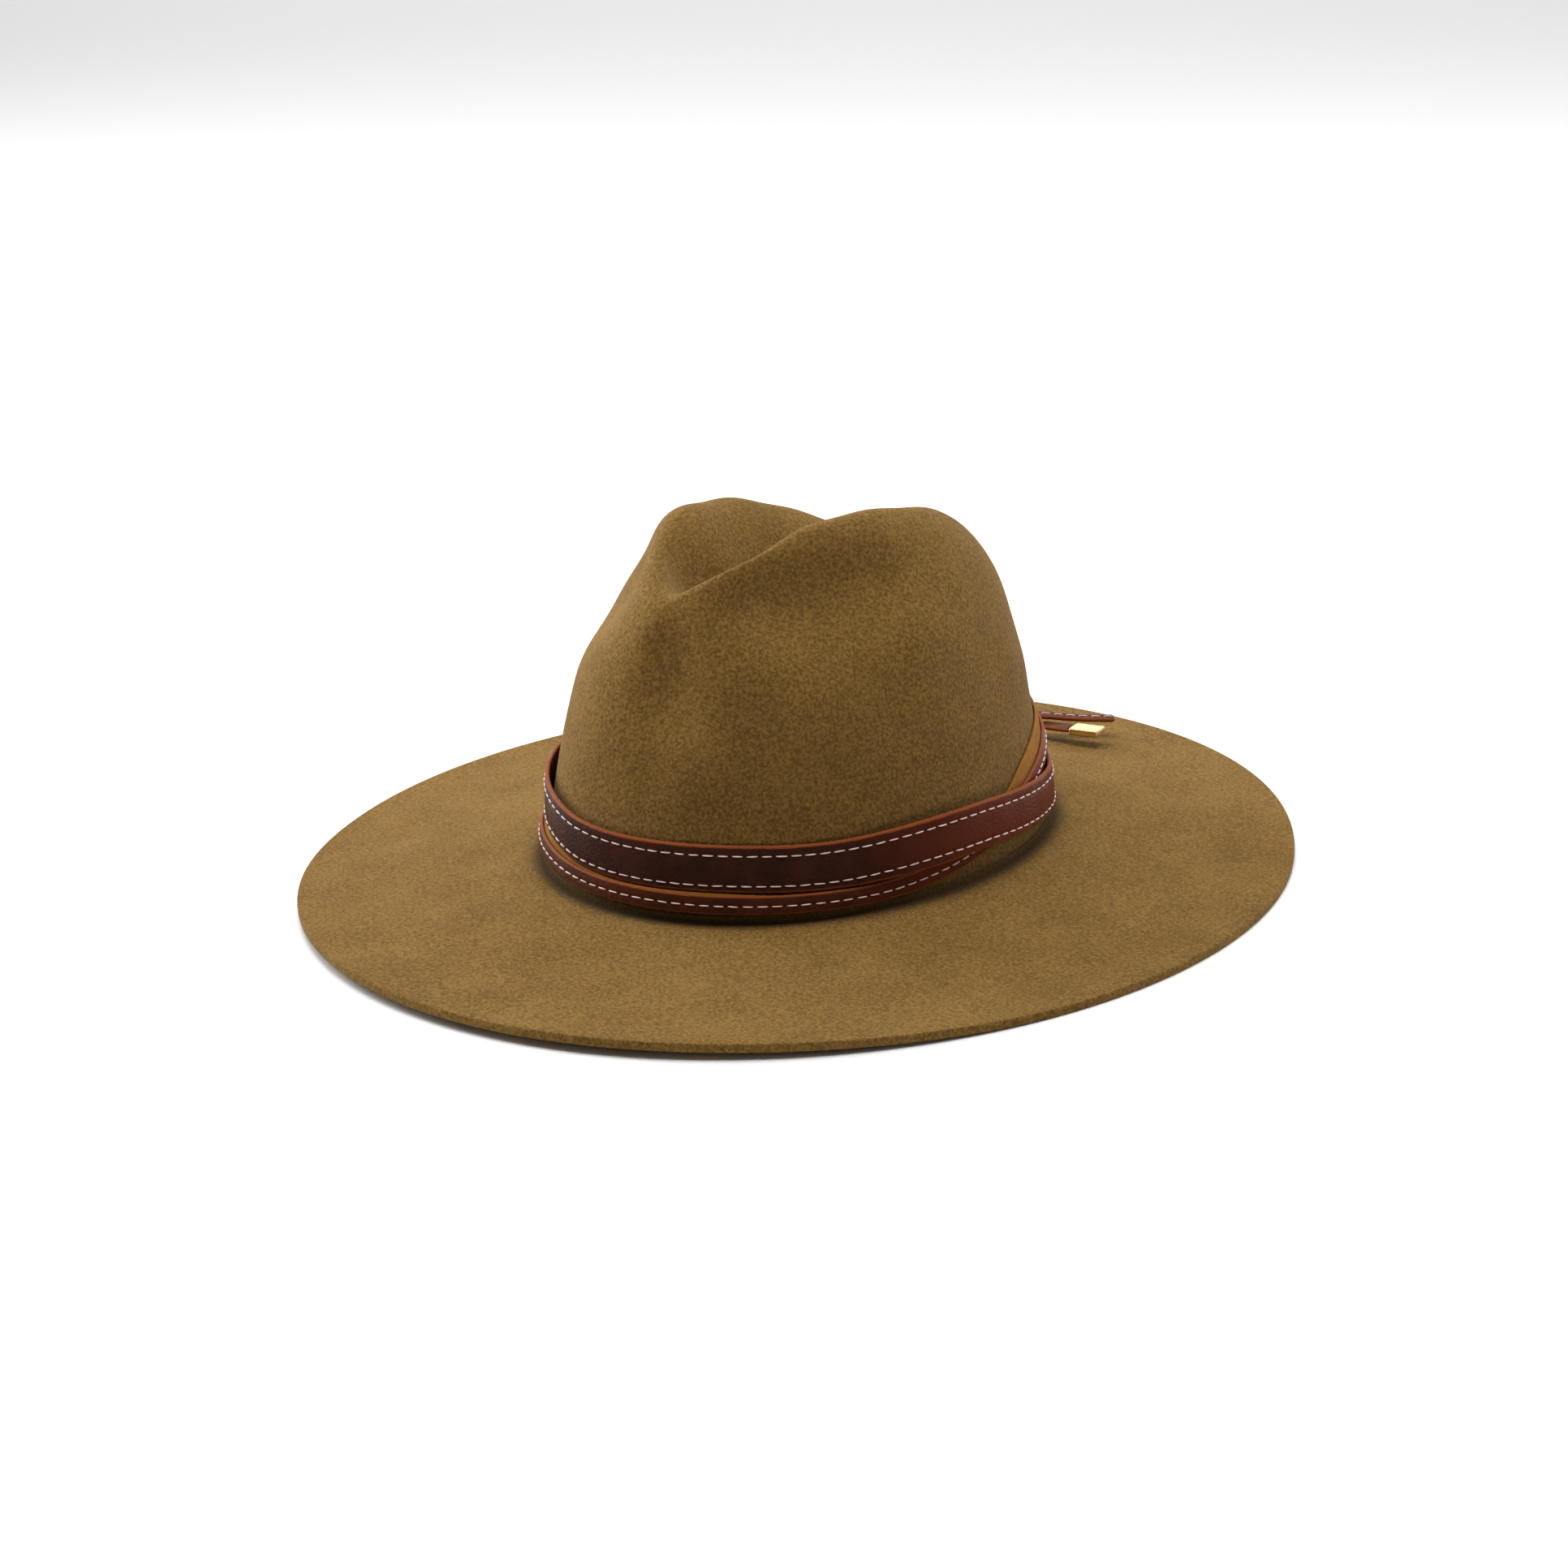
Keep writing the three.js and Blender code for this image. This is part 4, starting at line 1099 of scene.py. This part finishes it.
stitched_length = smooth_path(STITCHED_TAIL, FINE_STEPS)[1]
tipped_length = smooth_path(TIPPED_TAIL, FINE_STEPS)[1]
print("tails", round(float(stitched_length), 1), "and", round(float(tipped_length), 1), "mm long")

# %% A flat leather end along its middle line
TAIL_THICKNESS = 1.6
END_ROUND = 1.2
END_THINNESS = 0.25
END_NARROWNESS = 0.86


def make_tail(name, table, width, sections, seams, node):
    path, total = smooth_path(table, sections)
    along, across, over = bar_frame(path)
    up, out, on_face = strap_section(width / 2, TAIL_THICKNESS)
    share = up / (width / 2)
    length = np.linspace(0, total, sections)[:, None]
    ends = np.clip(np.minimum(length, total - length) / END_ROUND, 0, 1)
    rounding = np.sqrt(1 - (1 - ends) ** 2)
    height = out - TAIL_THICKNESS / 2 + FACE_SWELL * (1 - share ** 2) * on_face
    height = height * mix(END_THINNESS, 1.0, rounding)
    wide = up * mix(END_NARROWNESS, 1.0, rounding)
    lines = []
    for seam in seams:
        height = height - seam_dent(length, total, wide - seam) * on_face
        lines.append((path + across * seam + over * TAIL_THICKNESS / 2, over, length[:, 0], False))
    points = path[:, None] + across[:, None] * wide[..., None] + over[:, None] * height[..., None]
    piece = loft_mesh(name, points[:, ::-1], caps=True, marks={"across": (share[::-1] + 1) / 2})
    add_to_hat(piece, "tail_leather", brown_leather, node)
    return lines


# %% The two tails and the stitches on one of them
STITCHED_TAIL_WIDTH = 6.4
STITCHED_TAIL_SECTIONS = 180
MIDDLE_SEAM = (0.0,)
TIPPED_TAIL_WIDTH = 7.4
TIPPED_TAIL_SECTIONS = 120

tail_seam = make_tail("stitched_tail_leather", STITCHED_TAIL, STITCHED_TAIL_WIDTH, STITCHED_TAIL_SECTIONS,
                      MIDDLE_SEAM, "stitched_tail")
make_tail("tipped_tail_leather", TIPPED_TAIL, TIPPED_TAIL_WIDTH, TIPPED_TAIL_SECTIONS, (), "tipped_tail")
sew("tail_stitches", tail_seam, seed=13)

# %% Metal tip: a folded cap with softened edges
TIP_LENGTH = 12.0
TIP_WIDTH = 9.0
TIP_THICKNESS = 3.2
TIP_GAP = 0.3
TIP_SIDES = 48
TIP_SQUARENESS = 5.0
TIP_BEVEL = 0.5
TIP_END_PLACES = np.array([0, 0.05, 0.2, 0.45, 0.8])
TIP_RING_STEP = 2.0


def make_tip():
    path = smooth_path(TIPPED_TAIL, TIPPED_TAIL_SECTIONS)[0]
    along, across, over = (direction[-1] for direction in bar_frame(path))
    turn = np.arange(TIP_SIDES) / TIP_SIDES * 2 * np.pi
    squareness = np.abs(np.cos(turn)) ** TIP_SQUARENESS + np.abs(np.sin(turn)) ** TIP_SQUARENESS
    outline = squareness ** (-1 / TIP_SQUARENESS)
    wide = np.cos(turn) * outline * TIP_WIDTH / 2
    high = np.sin(turn) * outline * TIP_THICKNESS / 2
    middle_places = np.arange(TIP_RING_STEP, TIP_LENGTH, TIP_RING_STEP)
    place = np.concatenate([TIP_END_PLACES, middle_places, TIP_LENGTH - TIP_END_PLACES[::-1]])
    inset = np.minimum(place, TIP_LENGTH - place)
    bevel = TIP_BEVEL * (1 - np.sqrt(1 - (1 - np.clip(inset / TIP_BEVEL, 0, 1)) ** 2))
    wide_scale = 1 - bevel / (TIP_WIDTH / 2)
    high_scale = 1 - bevel / (TIP_THICKNESS / 2)
    start = path[-1] + along * TIP_GAP
    points = (start + along * place[:, None, None] + across * (wide_scale[:, None] * wide)[..., None]
              + over * (high_scale[:, None] * high)[..., None])
    tip = loft_mesh("gold_tip_cap", points, caps=True)
    add_to_hat(tip, "gold_metal", gold, "gold_tip")


make_tip()

# %% [markdown]
# ## Floor, light and camera
# The hat stands on a plain white floor. A soft light hangs over it and a little behind, as in a small
# studio, so that the front of the crown falls into shade. A soft light on each side and behind draws the pale
# rim of the nap, and a broad one far behind keeps the floor white behind the hat. One lamp at the camera
# would be simpler, but it would flatten the dents. The camera looks down on the wearer's left front from
# 1.4 metres.

# %% Floor
FLOOR_SIZE = 14.0
PAPER_WHITE = (0.98, 0.98, 0.98, 1.0)
floor_mesh = bpy.data.meshes.new("floor")
far = FLOOR_SIZE / 2
corners = [(-far, -far, 0), (far, -far, 0), (far, far, 0), (-far, far, 0)]
floor_mesh.from_pydata(corners, [], [(0, 1, 2, 3)])
floor = bpy.data.objects.new("floor", floor_mesh)
bpy.context.scene.collection.objects.link(floor)
paper, _, paper_shader = new_material("white_paper", roughness=0.9, specular=0.1)
paper_shader.inputs["Base Color"].default_value = PAPER_WHITE
floor_mesh.materials.append(paper)
print("floor", FLOOR_SIZE, "m wide")

# %% Camera at the photograph's angle
IMAGE_SIDE = 1932
VIEW_ROUND = math.radians(38.0)
VIEW_DOWN = math.radians(18.3855)
VIEW_ROLL = math.radians(-1.5807)
VIEW_DISTANCE = 1.4
VIEW_TARGET = (0.0, 0.0, 0.0415)
FOCAL_PIXELS = 4654.56
CENTRE_PIXEL = (984.07, 930.234)
SENSOR = 36.0

back = Vector((math.sin(VIEW_ROUND) * math.cos(VIEW_DOWN), -math.cos(VIEW_ROUND) * math.cos(VIEW_DOWN),
               math.sin(VIEW_DOWN)))
level = Vector((math.cos(VIEW_ROUND), math.sin(VIEW_ROUND), 0.0))
upward = back.cross(level)
image_right = level * math.cos(VIEW_ROLL) + upward * math.sin(VIEW_ROLL)
image_up = upward * math.cos(VIEW_ROLL) - level * math.sin(VIEW_ROLL)
camera_data = bpy.data.cameras.new("camera")
camera = bpy.data.objects.new("camera", camera_data)
bpy.context.scene.collection.objects.link(camera)
camera_turn = Matrix((image_right, image_up, back)).transposed().to_4x4()
camera.matrix_world = Matrix.Translation(Vector(VIEW_TARGET) + back * VIEW_DISTANCE) @ camera_turn
camera_data.sensor_width = SENSOR
camera_data.lens = SENSOR * FOCAL_PIXELS / IMAGE_SIDE
camera_data.shift_x = (IMAGE_SIDE / 2 - CENTRE_PIXEL[0]) / IMAGE_SIDE
camera_data.shift_y = (CENTRE_PIXEL[1] - IMAGE_SIDE / 2) / IMAGE_SIDE
bpy.context.scene.camera = camera
print("lens", round(camera_data.lens, 1), "mm,", VIEW_DISTANCE, "m from the hat")

# %% Soft lights and a pale room
LIGHT_TARGET = Vector((0, 0, 0.05))
ROOM_STRENGTH = 0.14


def soft_light(name, to_right, to_back, up, size, watts):
    """A lamp placed from the camera's point of view: metres to its right, behind the hat, and up."""
    data = bpy.data.lights.new(name, "AREA")
    data.shape = "RECTANGLE"
    data.size, data.size_y = size
    data.energy = watts
    lamp = bpy.data.objects.new(name, data)
    bpy.context.scene.collection.objects.link(lamp)
    away = Vector((-back.x, -back.y, 0)).normalized()
    lamp.location = level * to_right + away * to_back + Vector((0, 0, up))
    toward = LIGHT_TARGET - lamp.location
    lamp.rotation_euler = toward.to_track_quat("-Z", "Y").to_euler()
    print("lamp", name, watts, "W")


soft_light("overhead", to_right=0.0, to_back=0.08, up=1.9, size=(1.6, 1.1), watts=34)
soft_light("left_rim", to_right=-1.5, to_back=0.8, up=0.7, size=(0.9, 1.3), watts=28)
soft_light("right_rim", to_right=1.6, to_back=0.8, up=0.7, size=(0.9, 1.3), watts=13)
soft_light("backdrop", to_right=0.0, to_back=4.6, up=2.6, size=(5.0, 3.0), watts=116)
world = bpy.data.worlds.new("studio")
bpy.context.scene.world = world
world.use_nodes = True
world.node_tree.nodes["Background"].inputs["Color"].default_value = (1.0, 1.0, 1.0, 1.0)
world.node_tree.nodes["Background"].inputs["Strength"].default_value = ROOM_STRENGTH
bpy.context.scene.view_settings.view_transform = "Standard"
